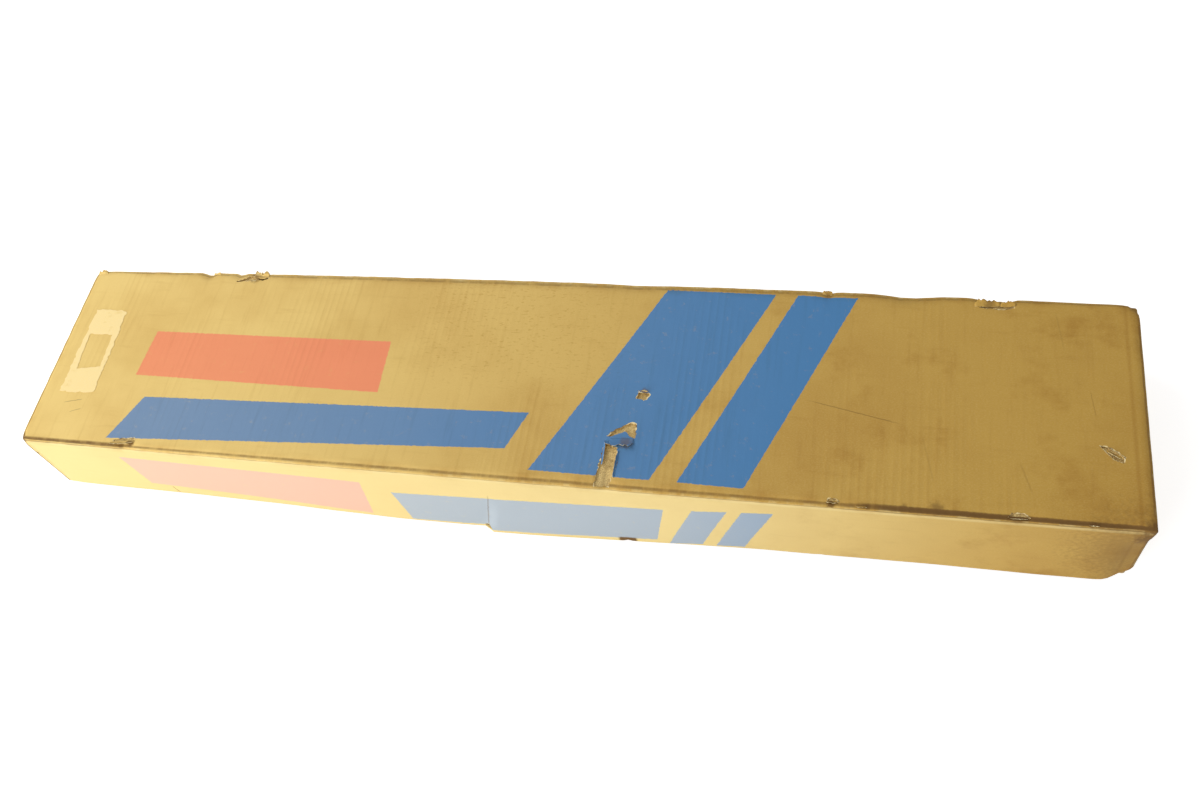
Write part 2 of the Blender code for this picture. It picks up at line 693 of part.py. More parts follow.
def carriage_handle():
    """A bail whose inturned ends are its pivots. It lies forward at rest."""
    inset = CARRIAGE_LENGTH / 2 - HOUSING_WALL - HANDLE_CATCH
    half = [
        (-inset, 0, 0), (-HANDLE_SIDE, 0, 0), (-HANDLE_SIDE, -HANDLE_REACH, 0),
    ]
    corners = half + [(-x, y, z) for x, y, z in reversed(half)]
    place = Matrix.Translation((0, HANDLE_Y, HANDLE_Z))
    wire("carriage_handle", bent_path(corners, HANDLE_BEND), HANDLE_RADIUS, "dark_plastic", place)


def knobs():
    spindle_end, edge = 0.014, 0.001
    base = HOUSING_TOP + GAP
    grip_top, grip_root, skirt, top = 0.007, 0.010, 0.0035, 0.0120
    profile = [
        (0, top), (grip_top, top), (grip_top + edge, top - edge), (grip_root, skirt),
        (DIAL_RADIUS - edge, skirt), (DIAL_RADIUS, skirt - edge), (DIAL_RADIUS, 0), (DIAL_SPINDLE, 0),
        (DIAL_SPINDLE, -spindle_end), (0, -spindle_end),
    ]
    turned("stitch_dial", profile, "blue_plastic", Matrix.Translation((0, DIAL_Y, base)), steps=32)
    top = 0.010
    profile = [
        (0, top), (CAM_RADIUS - edge, top), (CAM_RADIUS, top - edge), (CAM_RADIUS, 0),
        (CAM_SPINDLE, 0), (CAM_SPINDLE, -spindle_end), (0, -spindle_end),
    ]
    turned("cam_knob", profile, "dark_plastic", Matrix.Translation((CAM_X, CAM_Y, base)))


def side_levers():
    base = HOUSING_TOP + GAP
    thick, reach, root, tip, drop, grip_height = 0.003, 0.034, 0.005, 0.0035, 0.010, 0.010
    outline = [(-root, root), (-root, -root), (-tip, -reach), (tip, -reach), (root, -root), (root, root)]
    for name, sign in (("side_lever_left", -1), ("side_lever_right", 1)):
        x = sign * LEVER_X
        middle = base + thick / 2
        lever = plate(name, outline, thick, "blue_plastic", Matrix.Translation((x, LEVER_Y, middle)))
        lever = as_mesh(lever)
        spindle = rod(name + "_spindle", LEVER_SPINDLE, (x, LEVER_Y, base - drop), (x, LEVER_Y, middle), None)
        grip_y = LEVER_Y - reach + tip
        grip = rod(name + "_grip", tip, (x, grip_y, middle), (x, grip_y, base + grip_height), None)
        join(lever, spindle, grip)


def sinker_arm():
    half = ARM_LENGTH / 2
    back = HOUSING_FRONT - GAP
    holes = [circle((0, FEED_Y), FEED_RADIUS)]
    for side in (-1, 1):
        holes.append(circle((side * SCREW_X, SCREW_Y), SCREW_SHANK + GAP, 12))
        holes.append(circle((side * BRUSH_X, BRUSH_Y), BRUSH_PIN + GAP, 12))
    taper = 0.020
    outline = [
        (-half, back), (-half, SCREW_Y - ARM_CORNER), (-half + taper, ARM_FRONT), (half - taper, ARM_FRONT),
        (half, SCREW_Y - ARM_CORNER), (half, back),
    ]
    place, thickness = level(ARM_BOTTOM, ARM_TOP)
    plate("sinker_arm", outline, thickness, "zinc_steel", place, holes)



def yarn_feeder():
    half, depth, height = 0.008, 0.018, 0.009
    place, thickness = level(ARM_TOP + GAP, ARM_TOP + GAP + height)
    outline = rectangle((-half, ARM_FRONT), (half, ARM_FRONT + depth))
    plate("yarn_feeder", outline, thickness, "dark_plastic", place, [circle((0, FEED_Y), FEED_RADIUS)])


def thumb_screws():
    head, edge, base = 0.0055, 0.001, ARM_TOP + GAP
    height = HANDLE_Z - HANDLE_RADIUS - HANDLE_CLEAR - base
    drop = base - PLATE_BOTTOM
    profile = [
        (0, height), (head - edge, height), (head, height - edge), (head, edge), (head - edge, 0),
        (SCREW_SHANK, 0), (SCREW_SHANK, -drop), (0, -drop),
    ]
    for name, sign in (("thumb_screw_left", -1), ("thumb_screw_right", 1)):
        turned(name, profile, "bright_steel", Matrix.Translation((sign * SCREW_X, SCREW_Y, base)), steps=16)


def brush_wheels():
    radius, hub, height, droop, stub = 0.012, 0.006, 0.006, 0.001, 0.002
    top = ARM_BOTTOM - GAP
    pin_end = ARM_TOP - top + stub
    profile = [
        (0, pin_end), (BRUSH_PIN, pin_end), (BRUSH_PIN, 0), (hub, 0), (radius, -droop),
        (radius, -height), (0, -height),
    ]
    for name, sign in (("brush_wheel_left", -1), ("brush_wheel_right", 1)):
        turned(name, profile, "nylon_brush", Matrix.Translation((sign * BRUSH_X, BRUSH_Y, top)), steps=20)


# ---------------------------------------------------------------- accessories in the pan
MAST_INSET, MAST_END = 0.0265, 0.040
CLAMP_SPAN, CLAMP_EVERY, CLAMP_INSET = 0.046, 0.075, 0.0175
CLAMP_KNOB_WIDTH, CLAMP_KNOB_GAP = 0.010, 0.003
CLAMP_RIGHT = STOW_HALF - CLAMP_INSET - CLAMP_KNOB_WIDTH - CLAMP_KNOB_GAP - CLAMP_SPAN
CLAMP_LEFT = CLAMP_RIGHT - CLAMP_EVERY


def yarn_mast():
    left, right = MAST_INSET - STOW_HALF, -CARD_UNIT_LENGTH / 2 - MAST_END
    for name, radius, lane in (("mast_lower_rod", 0.004, 0.009), ("mast_upper_rod", 0.003, 0.020)):
        y, z = CARD_UNIT_FRONT + lane, DECK + radius
        rod(name, radius, (left, y, z), (right, y, z), "bright_steel")
    start, length, radius, bow, steps = left + 0.010, right - left - 0.030, 0.0009, 0.0025, 14
    for name, lane in (("take_up_spring_front", 0.028), ("take_up_spring_rear", 0.034)):
        points = []
        for i in range(steps + 1):
            share = i / steps
            y = CARD_UNIT_FRONT + lane + bow * math.sin(math.pi * share)
            points.append((start + length * share, y, DECK + radius))
        wire(name, points, radius, "bright_steel")


def tension_unit():
    """A beam with the two pairs of tension discs."""
    left, right, y = COUNTER_RIGHT + 0.030, CLAMP_LEFT - 0.025, CARD_UNIT_FRONT + 0.016
    half_depth, thick = 0.006, 0.004
    beam = block(
        "tension_unit", (left, y - half_depth, DECK), (right, y + half_depth, DECK + thick), "cream_plastic",
    )
    inset, radius, height = 0.035, 0.0095, 0.010
    low, high = DECK + thick / 2, DECK + thick + height
    for i, x in enumerate((left + inset, right - inset)):
        join(beam, rod(f"tension_disc_{i}", radius, (x, y, low), (x, y, high), None, steps=20))


def table_clamps():
    """Two C clamps lying on their backs, each with its screw through the right-hand jaw."""
    jaw, depth, thick = 0.007, 0.030, 0.018
    front, back = STOW_BACK - depth, STOW_BACK
    screw_radius, screw_inset, screw_start = 0.003, 0.006, 0.008
    axis = (front + screw_inset, DECK + thick / 2)
    knob_radius = 0.0085
    for name, left in (("left", CLAMP_LEFT), ("right", CLAMP_RIGHT)):
        right = left + CLAMP_SPAN
        outline = [
            (left, back), (left, front), (left + jaw, front), (left + jaw, back - jaw),
            (right - jaw, back - jaw), (right - jaw, front), (right, front), (right, back),
        ]
        place, thickness = level(DECK, DECK + thick)
        clamp = as_mesh(plate("table_clamp_" + name, outline, thickness, "zinc_steel", place))
        hole = rod(
            "clamp_hole_" + name, screw_radius + GAP, (right - jaw - SPARE, *axis), (right + SPARE, *axis),
            None,
        )
        cut(clamp, hole)
        start, collar = left + jaw + screw_start, right + CLAMP_KNOB_GAP
        profile = [
            (0, collar + CLAMP_KNOB_WIDTH), (knob_radius, collar + CLAMP_KNOB_WIDTH), (knob_radius, collar),
            (screw_radius, collar), (screw_radius, start), (0, start),
        ]
        place = Matrix.Translation((0, *axis)) @ ALONG_X
        turned("clamp_screw_" + name, profile, "bright_steel", place, steps=16)


TOOL_WALL = 0.0015
TOOL_FLOOR = DECK + TOOL_WALL + GAP


def tool_tray():
    half, height = 0.300, 0.0106
    shell(
        "tool_tray", (-half, TOOL_FRONT, DECK), (half, TOOL_FRONT + TOOL_DEPTH, DECK + height), TOOL_WALL, 1,
        "grey_plastic",
    )


def latch_tool():
    """A latch hook in a turned handle."""
    start_x, inset, radius, neck, hook = -0.250, 0.008, 0.004, 0.0028, 0.0012
    length, grip, shoulder, butt = 0.160, 0.090, 0.020, 0.006
    profile = [
        (0, length), (hook, length), (hook, grip), (neck, grip), (radius, grip - shoulder), (radius, butt),
        (neck, 0), (0, 0),
    ]
    place = Matrix.Translation((start_x, TOOL_FRONT + inset, TOOL_FLOOR + radius)) @ ALONG_X
    turned("latch_tool", profile, "blue_plastic", place, steps=16)


def transfer_tool():
    """A flat handle with three prongs."""
    start_x, inset, thick, half = 0.060, 0.013, 0.003, 0.0055
    grip, length, prongs, prong = 0.090, 0.150, 3, 0.001
    outline = [(0, -half), (grip, -half)]
    for i in range(prongs):
        low = (i - (prongs - 1) / 2) * PITCH - prong / 2
        outline += [(grip, low), (length, low), (length, low + prong), (grip, low + prong)]
    outline += [(grip, half), (0, half)]
    place = Matrix.Translation((start_x, TOOL_FRONT + inset, TOOL_FLOOR + thick / 2))
    plate("transfer_tool", outline, thick, "cream_plastic", place)


def main():
    clear_scene()
    make_collections()
    make_materials()
    for make in (
        carton, foam_ends, papers, case_pan, case_cover, cover_fittings,
        needle_bed, needle_row, rails, end_caps, card_housing, card_roller, card_stop_lever,
        counter_housing, counter_wheels, counter_reset,
        carriage_plate, carriage_housing, carriage_handle, knobs, side_levers,
        sinker_arm, yarn_feeder, thumb_screws, brush_wheels,
        yarn_mast, tension_unit, table_clamps, tool_tray, latch_tool, transfer_tool,
    ):
        make()


main()
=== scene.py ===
"""Looks of a flat-bed knitting machine in its case, packed in a long, worn board carton."""

import json
import math
import random

import bmesh
import bpy
import numpy as np
from mathutils import Matrix, Vector, noise

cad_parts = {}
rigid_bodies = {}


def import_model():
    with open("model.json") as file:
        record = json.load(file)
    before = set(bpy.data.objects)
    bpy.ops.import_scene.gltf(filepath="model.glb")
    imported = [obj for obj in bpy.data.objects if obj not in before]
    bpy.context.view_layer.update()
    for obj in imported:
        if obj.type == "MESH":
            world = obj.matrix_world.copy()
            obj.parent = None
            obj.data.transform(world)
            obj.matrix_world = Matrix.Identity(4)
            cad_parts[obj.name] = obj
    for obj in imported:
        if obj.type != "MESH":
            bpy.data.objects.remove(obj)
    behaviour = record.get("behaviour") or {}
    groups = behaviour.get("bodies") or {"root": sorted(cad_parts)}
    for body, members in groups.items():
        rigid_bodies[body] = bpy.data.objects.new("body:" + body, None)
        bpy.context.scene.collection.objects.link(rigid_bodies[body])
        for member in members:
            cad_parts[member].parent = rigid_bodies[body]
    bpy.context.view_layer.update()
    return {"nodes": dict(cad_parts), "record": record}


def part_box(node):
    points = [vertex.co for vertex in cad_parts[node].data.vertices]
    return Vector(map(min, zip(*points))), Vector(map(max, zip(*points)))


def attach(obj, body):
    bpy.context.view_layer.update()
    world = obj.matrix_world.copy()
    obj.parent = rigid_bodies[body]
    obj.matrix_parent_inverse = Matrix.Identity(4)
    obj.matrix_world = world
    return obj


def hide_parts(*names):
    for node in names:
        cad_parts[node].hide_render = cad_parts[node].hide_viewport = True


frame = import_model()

bl_info = {
    "name": "Knitting Machine in its Carton",
    "version": (1, 0, 0),
    "blender": (4, 5, 0),
    "location": "3D View > Sidebar > Carton",
    "description": "Finishes and fine pieces for the packed knitting machine and its worn carton",
    "category": "Object",
}

LID_LOW, LID_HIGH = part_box("carton_lid")
TRAY_LOW, TRAY_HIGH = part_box("carton_tray")
BOARD = 0.004  # metres, like every length here
LINER = 0.0005
FLUTES_INSIDE = 0.0004  # how far the fluting stands back from a rim's edge
CREASE_ANGLE, BOARD_CREASE_ANGLE = 30.0, 38.0  # degrees from which an edge is sharp
WELD = 1e-6  # points closer than this are one


# ---------------------------------------------------------------- node trees

class Nodes:
    """Adds nodes to one tree and links them to each other."""

    def __init__(self, tree):
        self.tree = tree

    def add(self, kind, inputs=None, output=0, **settings):
        node = self.tree.nodes.new(kind)
        for name, value in settings.items():
            setattr(node, name, value)
        for key, value in (inputs or {}).items():
            self.feed(node.inputs[key], value)
        return node.outputs[output] if node.outputs else node

    def feed(self, socket, value):
        if isinstance(value, bpy.types.NodeSocket):
            self.tree.links.new(value, socket)
        else:
            socket.default_value = value

    def math(self, operation, a, b=0.0):
        return self.add("ShaderNodeMath", {0: a, 1: b}, operation=operation)

    def times(self, a, b):
        return self.math("MULTIPLY", a, b)

    def plus(self, a, b):
        return self.math("ADD", a, b)

    def minus(self, a, b):
        return self.math("SUBTRACT", a, b)

    def size(self, a):
        return self.math("ABSOLUTE", a)

    def vector(self, operation, a, b=(0, 0, 0)):
        output = 1 if operation in ("DOT_PRODUCT", "LENGTH", "DISTANCE") else 0
        return self.add("ShaderNodeVectorMath", {0: a, 1: b}, output, operation=operation)

    def split(self, vector):
        node = self.tree.nodes.new("ShaderNodeSeparateXYZ")
        self.feed(node.inputs[0], vector)
        return node.outputs[0], node.outputs[1], node.outputs[2]

    def noise(self, vector, scale, detail=2.0, roughness=0.5, stretch=None):
        if stretch:
            vector = self.vector("MULTIPLY", vector, stretch)
        inputs = {"Vector": vector, "Scale": scale, "Detail": detail, "Roughness": roughness}
        return self.add("ShaderNodeTexNoise", inputs)

    def cells(self, vector, scale, feature="F1"):
        return self.add("ShaderNodeTexVoronoi", {"Vector": vector, "Scale": scale}, feature=feature)

    def ease(self, value, low, high, to_low=0.0, to_high=1.0):
        inputs = {0: value, 1: low, 2: high, 3: to_low, 4: to_high}
        return self.add("ShaderNodeMapRange", inputs, interpolation_type="SMOOTHSTEP")

    def mix(self, factor, a, b, blend="MIX"):
        inputs = {0: factor, 6: a, 7: b}
        return self.add("ShaderNodeMix", inputs, 2, data_type="RGBA", blend_type=blend)

    def ways(self, factor, a, b):
        return self.add("ShaderNodeMix", {0: factor, 2: a, 3: b}, 0, data_type="FLOAT")

    def bump(self, height, distance, strength=1.0, normal=None):
        inputs = {"Height": height, "Distance": distance, "Strength": strength}
        if normal is not None:
            inputs["Normal"] = normal
        return self.add("ShaderNodeBump", inputs)

    def coat_with(self, shader, paint, roughness, normal):
        for name, value in (("Base Color", paint), ("Roughness", roughness), ("Normal", normal)):
            self.feed(shader.inputs[name], value)


def rgb(red, green, blue):
    return (red, green, blue, 1.0)


def new_finish(name, metal=0.0, specular=0.5, coat=0.0):
    """A material with a Principled shader; returns it, its node helper, its shader and Object coordinates."""
    material = bpy.data.materials.new(name)
    material.use_nodes = True
    material.node_tree.nodes.clear()
    nodes = Nodes(material.node_tree)
    shader = material.node_tree.nodes.new("ShaderNodeBsdfPrincipled")
    for socket, value in (("Metallic", metal), ("Specular IOR Level", specular), ("Coat Weight", coat)):
        shader.inputs[socket].default_value = value
    nodes.add("ShaderNodeOutputMaterial", {0: shader.outputs[0]})
    place = nodes.add("ShaderNodeTexCoord", output=3)
    return material, nodes, shader, place


# ---------------------------------------------------------------- board finishes

def half_planes(points):
    """For each side of a convex outline given clockwise or not, (a, b, c) with a*u + b*v + c > 0 inside."""
    centre = sum((Vector(p) for p in points), Vector((0, 0))) / len(points)
    planes = []
    for start, end in zip(points, points[1:] + points[:1]):
        side = Vector(end) - Vector(start)
        normal = Vector((-side.y, side.x)).normalized()
        offset = -normal.dot(Vector(start))
        if normal.dot(centre) + offset < 0:
            normal, offset = -normal, -offset
        planes.append((normal.x, normal.y, offset))
    return planes


def printed(nodes, place, points, wobble):
    """How far inside the outline a point of the board lies, in metres, with a slightly uneven edge."""
    inside = None
    for plane in half_planes(points):
        reach = nodes.vector("DOT_PRODUCT", place, plane)
        inside = reach if inside is None else nodes.math("MINIMUM", inside, reach)
    return nodes.plus(inside, wobble)


def tinted(nodes, factor, paint, tint):
    """The paint multiplied by a tint, as far as the factor says."""
    return nodes.mix(factor, paint, nodes.mix(1.0, paint, tint, "MULTIPLY"))


# Most of these are scratches; the long lines along the front fold, along the right end's fold and down the front left
# corner are painted shade of the fold grooves, with dirt.
SCRATCHES_AND_FOLD_SHADE = (  # start, end, half width, depth of colour
    ((0.276, -0.008), (0.371, -0.030), 0.0006, 0.45), ((-0.545, -0.068), (-0.520, -0.062), 0.0005, 0.5),
    ((-0.532, -0.080), (-0.517, -0.074), 0.0004, 0.5), ((0.532, 0.020), (0.536, -0.010), 0.0006, 0.25),
    ((0.481, -0.094), (0.470, -0.060), 0.0009, 0.16), ((-0.428, -0.205), (-0.424, -0.222), 0.0006, 0.8),
    ((-0.030, -0.150), (-0.046, -0.222), 0.0008, 0.45), ((0.398, -0.092), (0.386, -0.040), 0.0010, 0.12),
    ((0.505, 0.108), (0.512, 0.060), 0.0008, 0.14), ((0.0960, -0.2175), (0.1180, -0.2175), 0.0042, 1.3),
    ((-0.600, -0.1160), (-0.436, -0.1165), 0.0022, 0.32), ((0.5785, -0.140), (0.5785, 0.130), 0.0012, 0.6),
    ((-0.5790, -0.110), (-0.5790, -0.245), 0.0024, 1.0), ((0.315, -0.1165), (0.640, -0.1165), 0.0024, 1.0),
)
# Most of these are bruises and dirt; the wide soft one at (0.585, -0.160) is painted shade over the front right corner.
BRUISES_AND_SHADE = (  # place on the flat sheet, radius, depth of colour
    (0.578, -0.134, 0.016, 0.85), (0.592, -0.117, 0.012, 0.8), (0.577, -0.117, 0.010, 0.8),
    (0.585, -0.160, 0.080, 0.40), (0.400, -0.114, 0.008, 0.6), (0.372, -0.115, 0.004, 0.7),
    (-0.579, -0.121, 0.007, 0.9), (-0.578, -0.150, 0.004, 0.8), (-0.437, -0.113, 0.0055, 0.9),
    (-0.448, -0.117, 0.004, 0.6),
    (0.446, 0.113, 0.007, 0.6), (-0.362, 0.114, 0.008, 0.7), (-0.578, 0.118, 0.006, 0.6), (0.578, 0.116, 0.007, 0.5),
    (0.092, -0.112, 0.010, 0.5), (0.110, -0.070, 0.008, 0.5), (0.120, -0.010, 0.005, 0.6),
    (0.308, -0.117, 0.0045, 0.9), (0.468, -0.117, 0.007, 0.7), (0.341, -0.117, 0.003, 0.7),
    (0.527, -0.117, 0.004, 0.7), (0.292, 0.117, 0.005, 0.5), (0.548, -0.046, 0.005, 0.5),
)


def near_line(nodes, sheet, start, end, width, waver):
    """1 on a straight scratch of the flat sheet, 0 away from it."""
    a, b = Vector(start), Vector(end)
    along = (b - a).normalized()
    across = Vector((-along.y, along.x))
    off = nodes.vector("DOT_PRODUCT", sheet, (across.x, across.y, -across.dot(a)))
    off = nodes.size(nodes.plus(off, nodes.times(waver, 0.7)))
    reach = nodes.vector("DOT_PRODUCT", sheet, (along.x, along.y, -along.dot(a)))
    size = (b - a).length
    inside = nodes.times(nodes.ease(reach, 0.0, size * 0.2), nodes.ease(reach, size * 0.8, size, 1.0, 0.0))
    return nodes.times(inside, nodes.ease(off, width * 0.4, width * 1.3, 1.0, 0.0))


def board_outside(settings):
    """Printed kraft liner: its UV map gives metres on the flat sheet, with the folds at the lid's edges."""
    material, nodes, shader, _ = new_finish("board_outside", specular=0.25)
    flat = nodes.add("ShaderNodeUVMap", uv_map="flat_sheet")
    u, v, _ = nodes.split(flat)
    sheet = nodes.add("ShaderNodeCombineXYZ", {0: u, 1: v, 2: 1.0})
    spread = nodes.add("ShaderNodeCombineXYZ", {0: u, 1: v, 2: 0.0})
    half_x, half_y = LID_HIGH.x, LID_HIGH.y

    # kraft, paler at the left and darker at the right, partly as faded liner and partly as painted light from the left
    # and painted shade to the right; on the front the pale part reaches further right; with streaks, fibres and stains
    on_front = nodes.ease(v, -half_y - 0.004, -half_y, 1.0, 0.0)
    along = nodes.ease(u, -half_x, half_x)
    shifted = nodes.minus(nodes.ease(u, 0.10, half_x), along)
    along = nodes.plus(along, nodes.times(on_front, shifted))
    kraft = nodes.mix(along, settings.kraft_left, settings.kraft_right)
    blotch = nodes.noise(spread, 5.0, 4.0, 0.6)
    streak = nodes.noise(spread, 1.0, 4.0, 0.62, (150.0, 11.0, 1.0))
    brushed = nodes.noise(spread, 1.0, 3.0, 0.6, (14.0, 120.0, 1.0))
    fibre = nodes.noise(spread, 1.0, 4.0, 0.7, (520.0, 900.0, 1.0))
    grime = nodes.noise(spread, 17.0, 6.0, 0.68)
    kraft = tinted(nodes, nodes.ease(blotch, 0.42, 0.72, 0.0, 0.45), kraft, settings.tint)
    off_front = nodes.minus(1.0, nodes.times(on_front, 0.8))
    streaked = nodes.times(nodes.ease(streak, 0.50, 0.78, 0.0, 0.28), off_front)
    kraft = tinted(nodes, streaked, kraft, settings.tint)
    kraft = tinted(nodes, nodes.ease(brushed, 0.55, 0.80, 0.0, 0.25), kraft, settings.tint)
    kraft = nodes.mix(nodes.ease(fibre, 0.40, 0.75, 0.0, 0.16), kraft, settings.kraft_pale)
    to_right = nodes.ease(u, -0.20, half_x, 0.10, 0.75)
    kraft = tinted(nodes, nodes.times(nodes.ease(grime, 0.50, 0.76), to_right), kraft, settings.tint)
    # The front paled towards its left, towards the pale kraft: partly faded liner, partly painted light on the front.
    front_fade_and_light = nodes.times(on_front, nodes.ease(u, 0.10, 0.50, 0.60, 0.05))
    kraft = nodes.mix(front_fade_and_light, kraft, settings.kraft_pale)

    # the printed bands, worn, paler towards the left and paler on the front, partly as faded ink and partly as painted
    # light
    waver = nodes.times(nodes.minus(nodes.noise(spread, 260.0, 3.0), 0.5), 0.0022)
    ink_wear = nodes.noise(spread, 95.0, 5.0, 0.7)
    keep = nodes.ease(ink_wear, 0.30, 0.42, 0.85, 0.98)
    paint = kraft
    # Ink mixed towards the kraft at the left: partly fading, partly painted light from the left.
    ink_fade_and_light = nodes.ease(u, -half_x, half_x, 0.16, 0.0)
    for outlines, colour in (
        (settings_outlines("red"), settings.red_ink), (settings_outlines("blue"), settings.blue_ink),
    ):
        reach = None
        for outline in outlines:
            one = printed(nodes, sheet, outline, waver)
            reach = one if reach is None else nodes.math("MAXIMUM", reach, one)
        mask = nodes.times(nodes.ease(reach, -0.0003, 0.0003), keep)
        ink = nodes.mix(ink_fade_and_light, colour, kraft)
        ink = tinted(nodes, nodes.times(streaked, 0.6), ink, settings.tint)
        # On the front the ink pales too: partly faded ink, partly painted light on the front.
        ink = nodes.mix(nodes.times(front_fade_and_light, 0.75), ink, settings.faded_ink)
        paint = nodes.mix(mask, paint, ink)

    # dark lines along the folds, painted shade of the scored fold grooves with some dirt, heavier at both ends of the
    # front fold; and pale rubbing along the folds
    to_side = nodes.size(nodes.minus(nodes.size(v), half_y))
    to_end = nodes.size(nodes.minus(nodes.size(u), half_x))
    to_fold = nodes.math("MINIMUM", to_side, to_end)
    rub = nodes.noise(spread, 60.0, 5.0, 0.7)
    front_fold = nodes.ease(v, -half_y - 0.008, -half_y + 0.006, 0.0, 1.0)
    front_fold = nodes.times(front_fold, nodes.ease(v, -half_y + 0.006, -half_y + 0.012, 1.0, 0.0))
    heavy = nodes.math("MAXIMUM", nodes.ease(u, -0.47, -0.42, 1.0, 0.0), nodes.ease(u, 0.30, 0.36))
    heavy = nodes.times(heavy, front_fold)
    scored = nodes.size(nodes.minus(to_fold, 0.0022))
    scored = nodes.math("DIVIDE", scored, nodes.plus(nodes.times(heavy, 1.6), 1.0))
    darkness = nodes.plus(nodes.ease(rub, 0.35, 0.60, 0.25, 0.60), nodes.times(heavy, 0.35))
    groove_shade = nodes.times(nodes.ease(scored, 0.0003, 0.0013, 1.0, 0.0), darkness)
    paint = nodes.mix(groove_shade, paint, settings.score)
    scuff = nodes.times(nodes.ease(to_fold, 0.0, 0.0030, 1.0, 0.0), nodes.ease(rub, 0.46, 0.62))
    scuff = nodes.times(scuff, nodes.minus(0.7, nodes.times(front_fold, 0.55)))
    paint = nodes.mix(scuff, paint, settings.kraft_pale)
    # A painted highlight: a pale strip on the front just below the front fold, where the rounded fold catches the
    # light.
    strip = nodes.times(nodes.ease(v, -half_y - 0.009, -half_y - 0.005, 0.0, 0.5), on_front)
    paint = nodes.mix(nodes.times(strip, nodes.minus(1.0, groove_shade)), paint, settings.kraft_pale)
    handled = nodes.times(nodes.ease(to_fold, 0.0, 0.012, 0.55, 0.0), nodes.ease(grime, 0.40, 0.65))
    paint = tinted(nodes, handled, paint, settings.tint)
    end_strip = nodes.minus(half_x - 0.013, u)
    paint = tinted(nodes, nodes.ease(nodes.size(end_strip), 0.0, 0.003, 0.4, 0.0), paint, settings.tint)
    # scratches, bruises and specks, with painted shade along some folds and over the front right corner
    for start, end, width, depth in SCRATCHES_AND_FOLD_SHADE:
        line = nodes.times(near_line(nodes, sheet, start, end, width, waver), depth)
        paint = nodes.mix(line, paint, settings.score)
    for spot_u, spot_v, radius, depth in BRUISES_AND_SHADE:
        away = nodes.vector("DISTANCE", spread, (spot_u, spot_v, 0))
        away = nodes.plus(away, nodes.times(waver, radius * 500.0))
        paint = nodes.mix(nodes.ease(away, radius * 0.3, radius * 1.1, depth, 0.0), paint, settings.score)
    specks = nodes.ease(nodes.cells(spread, 70.0), 0.0, 0.035, 1.0, 0.0)
    some = nodes.ease(nodes.noise(spread, 13.0, 1.0), 0.60, 0.66)
    paint = nodes.mix(nodes.times(specks, nodes.times(some, 0.35)), paint, settings.score)

    # the flutes showing through, as painted shade of their ridges and as bumps; short dashes of painted flute shade;
    # and the crumpled surface
    wave = nodes.math("SINE", nodes.times(u, 2 * math.pi / settings.flute_pitch))
    drift = nodes.noise(spread, 9.0, 3.0, 0.6, (1.0, 0.35, 1.0))
    flute_shade_and_relief = nodes.times(wave, nodes.times(nodes.ease(drift, 0.42, 0.66, 0.0, 1.0), off_front))
    paint = tinted(nodes, nodes.ease(flute_shade_and_relief, 0.2, 1.0, 0.0, 0.12), paint, settings.tint)
    flute_dash_shade = nodes.noise(spread, 1.0, 2.0, 0.5, (160.0, 420.0, 1.0))
    here = nodes.times(nodes.ease(u, -0.20, -0.08), nodes.ease(u, 0.0, 0.16, 1.0, 0.0))
    here = nodes.times(here, nodes.ease(v, -0.06, 0.04, 0.0, 0.45))
    paint = tinted(nodes, nodes.times(nodes.ease(flute_dash_shade, 0.58, 0.68), here), paint, settings.tint)
    flutes = nodes.bump(flute_shade_and_relief, 0.00005, 0.9)
    crumple = nodes.bump(nodes.noise(spread, 34.0, 4.0, 0.55), 0.0009, 0.5, flutes)
    nodes.coat_with(shader, paint, nodes.ease(fibre, 0.3, 0.8, 0.62, 0.85), nodes.bump(fibre, 0.00012, 0.5, crumple))
    return material


def settings_outlines(colour):
    """Convex outlines of the plain printed bands, in metres on the flat sheet: the top, then the front."""
    fold = -LID_HIGH.y - LID_HIGH.z

    def front(points):
        return [(x, fold + z) for x, z in points]

    if colour == "red":
        return [
            [(-0.4615, 0.034), (-0.168, 0.035), (-0.166, -0.030), (-0.466, -0.026)],
            front([(-0.462, 0.083), (-0.172, 0.076), (-0.178, 0.008), (-0.453, 0.022)]),
        ]
    return [
        [(-0.443, -0.054), (0.005, -0.043), (-0.012, -0.086), (-0.470, -0.109)],
        [(0.127, 0.116), (0.240, 0.115), (0.138, -0.109), (0.017, -0.108)],
        [(0.262, 0.115), (0.321, 0.114), (0.228, -0.110), (0.165, -0.109)],
        front([(-0.141, 0.059), (0.150, 0.072), (0.138, 0.010), (-0.132, 0.005)]),
        front([(0.178, 0.074), (0.212, 0.078), (0.184, 0.006), (0.150, 0.003)]),
        front([(0.226, 0.079), (0.256, 0.082), (0.226, 0.006), (0.198, 0.005)]),
    ]


def board_inside(settings):
    """Plain liner on the inner side of both halves."""
    material, nodes, shader, place = new_finish("board_inside", specular=0.2)
    fibre = nodes.noise(place, 1.0, 4.0, 0.7, (500.0, 700.0, 500.0))
    blotch = nodes.noise(place, 7.0, 4.0, 0.6)
    paint = nodes.mix(nodes.ease(blotch, 0.35, 0.7), settings.liner_light, settings.liner_dark)
    paint = nodes.mix(nodes.ease(fibre, 0.4, 0.8, 0.0, 0.3), paint, settings.kraft_pale)
    x, _, _ = nodes.split(place)
    wave = nodes.math("SINE", nodes.times(x, 2 * math.pi / settings.flute_pitch))
    flutes = nodes.bump(wave, 0.00006, 0.7)
    nodes.coat_with(shader, paint, nodes.ease(fibre, 0.3, 0.8, 0.70, 0.90), nodes.bump(fibre, 0.00012, 0.5, flutes))
    return material


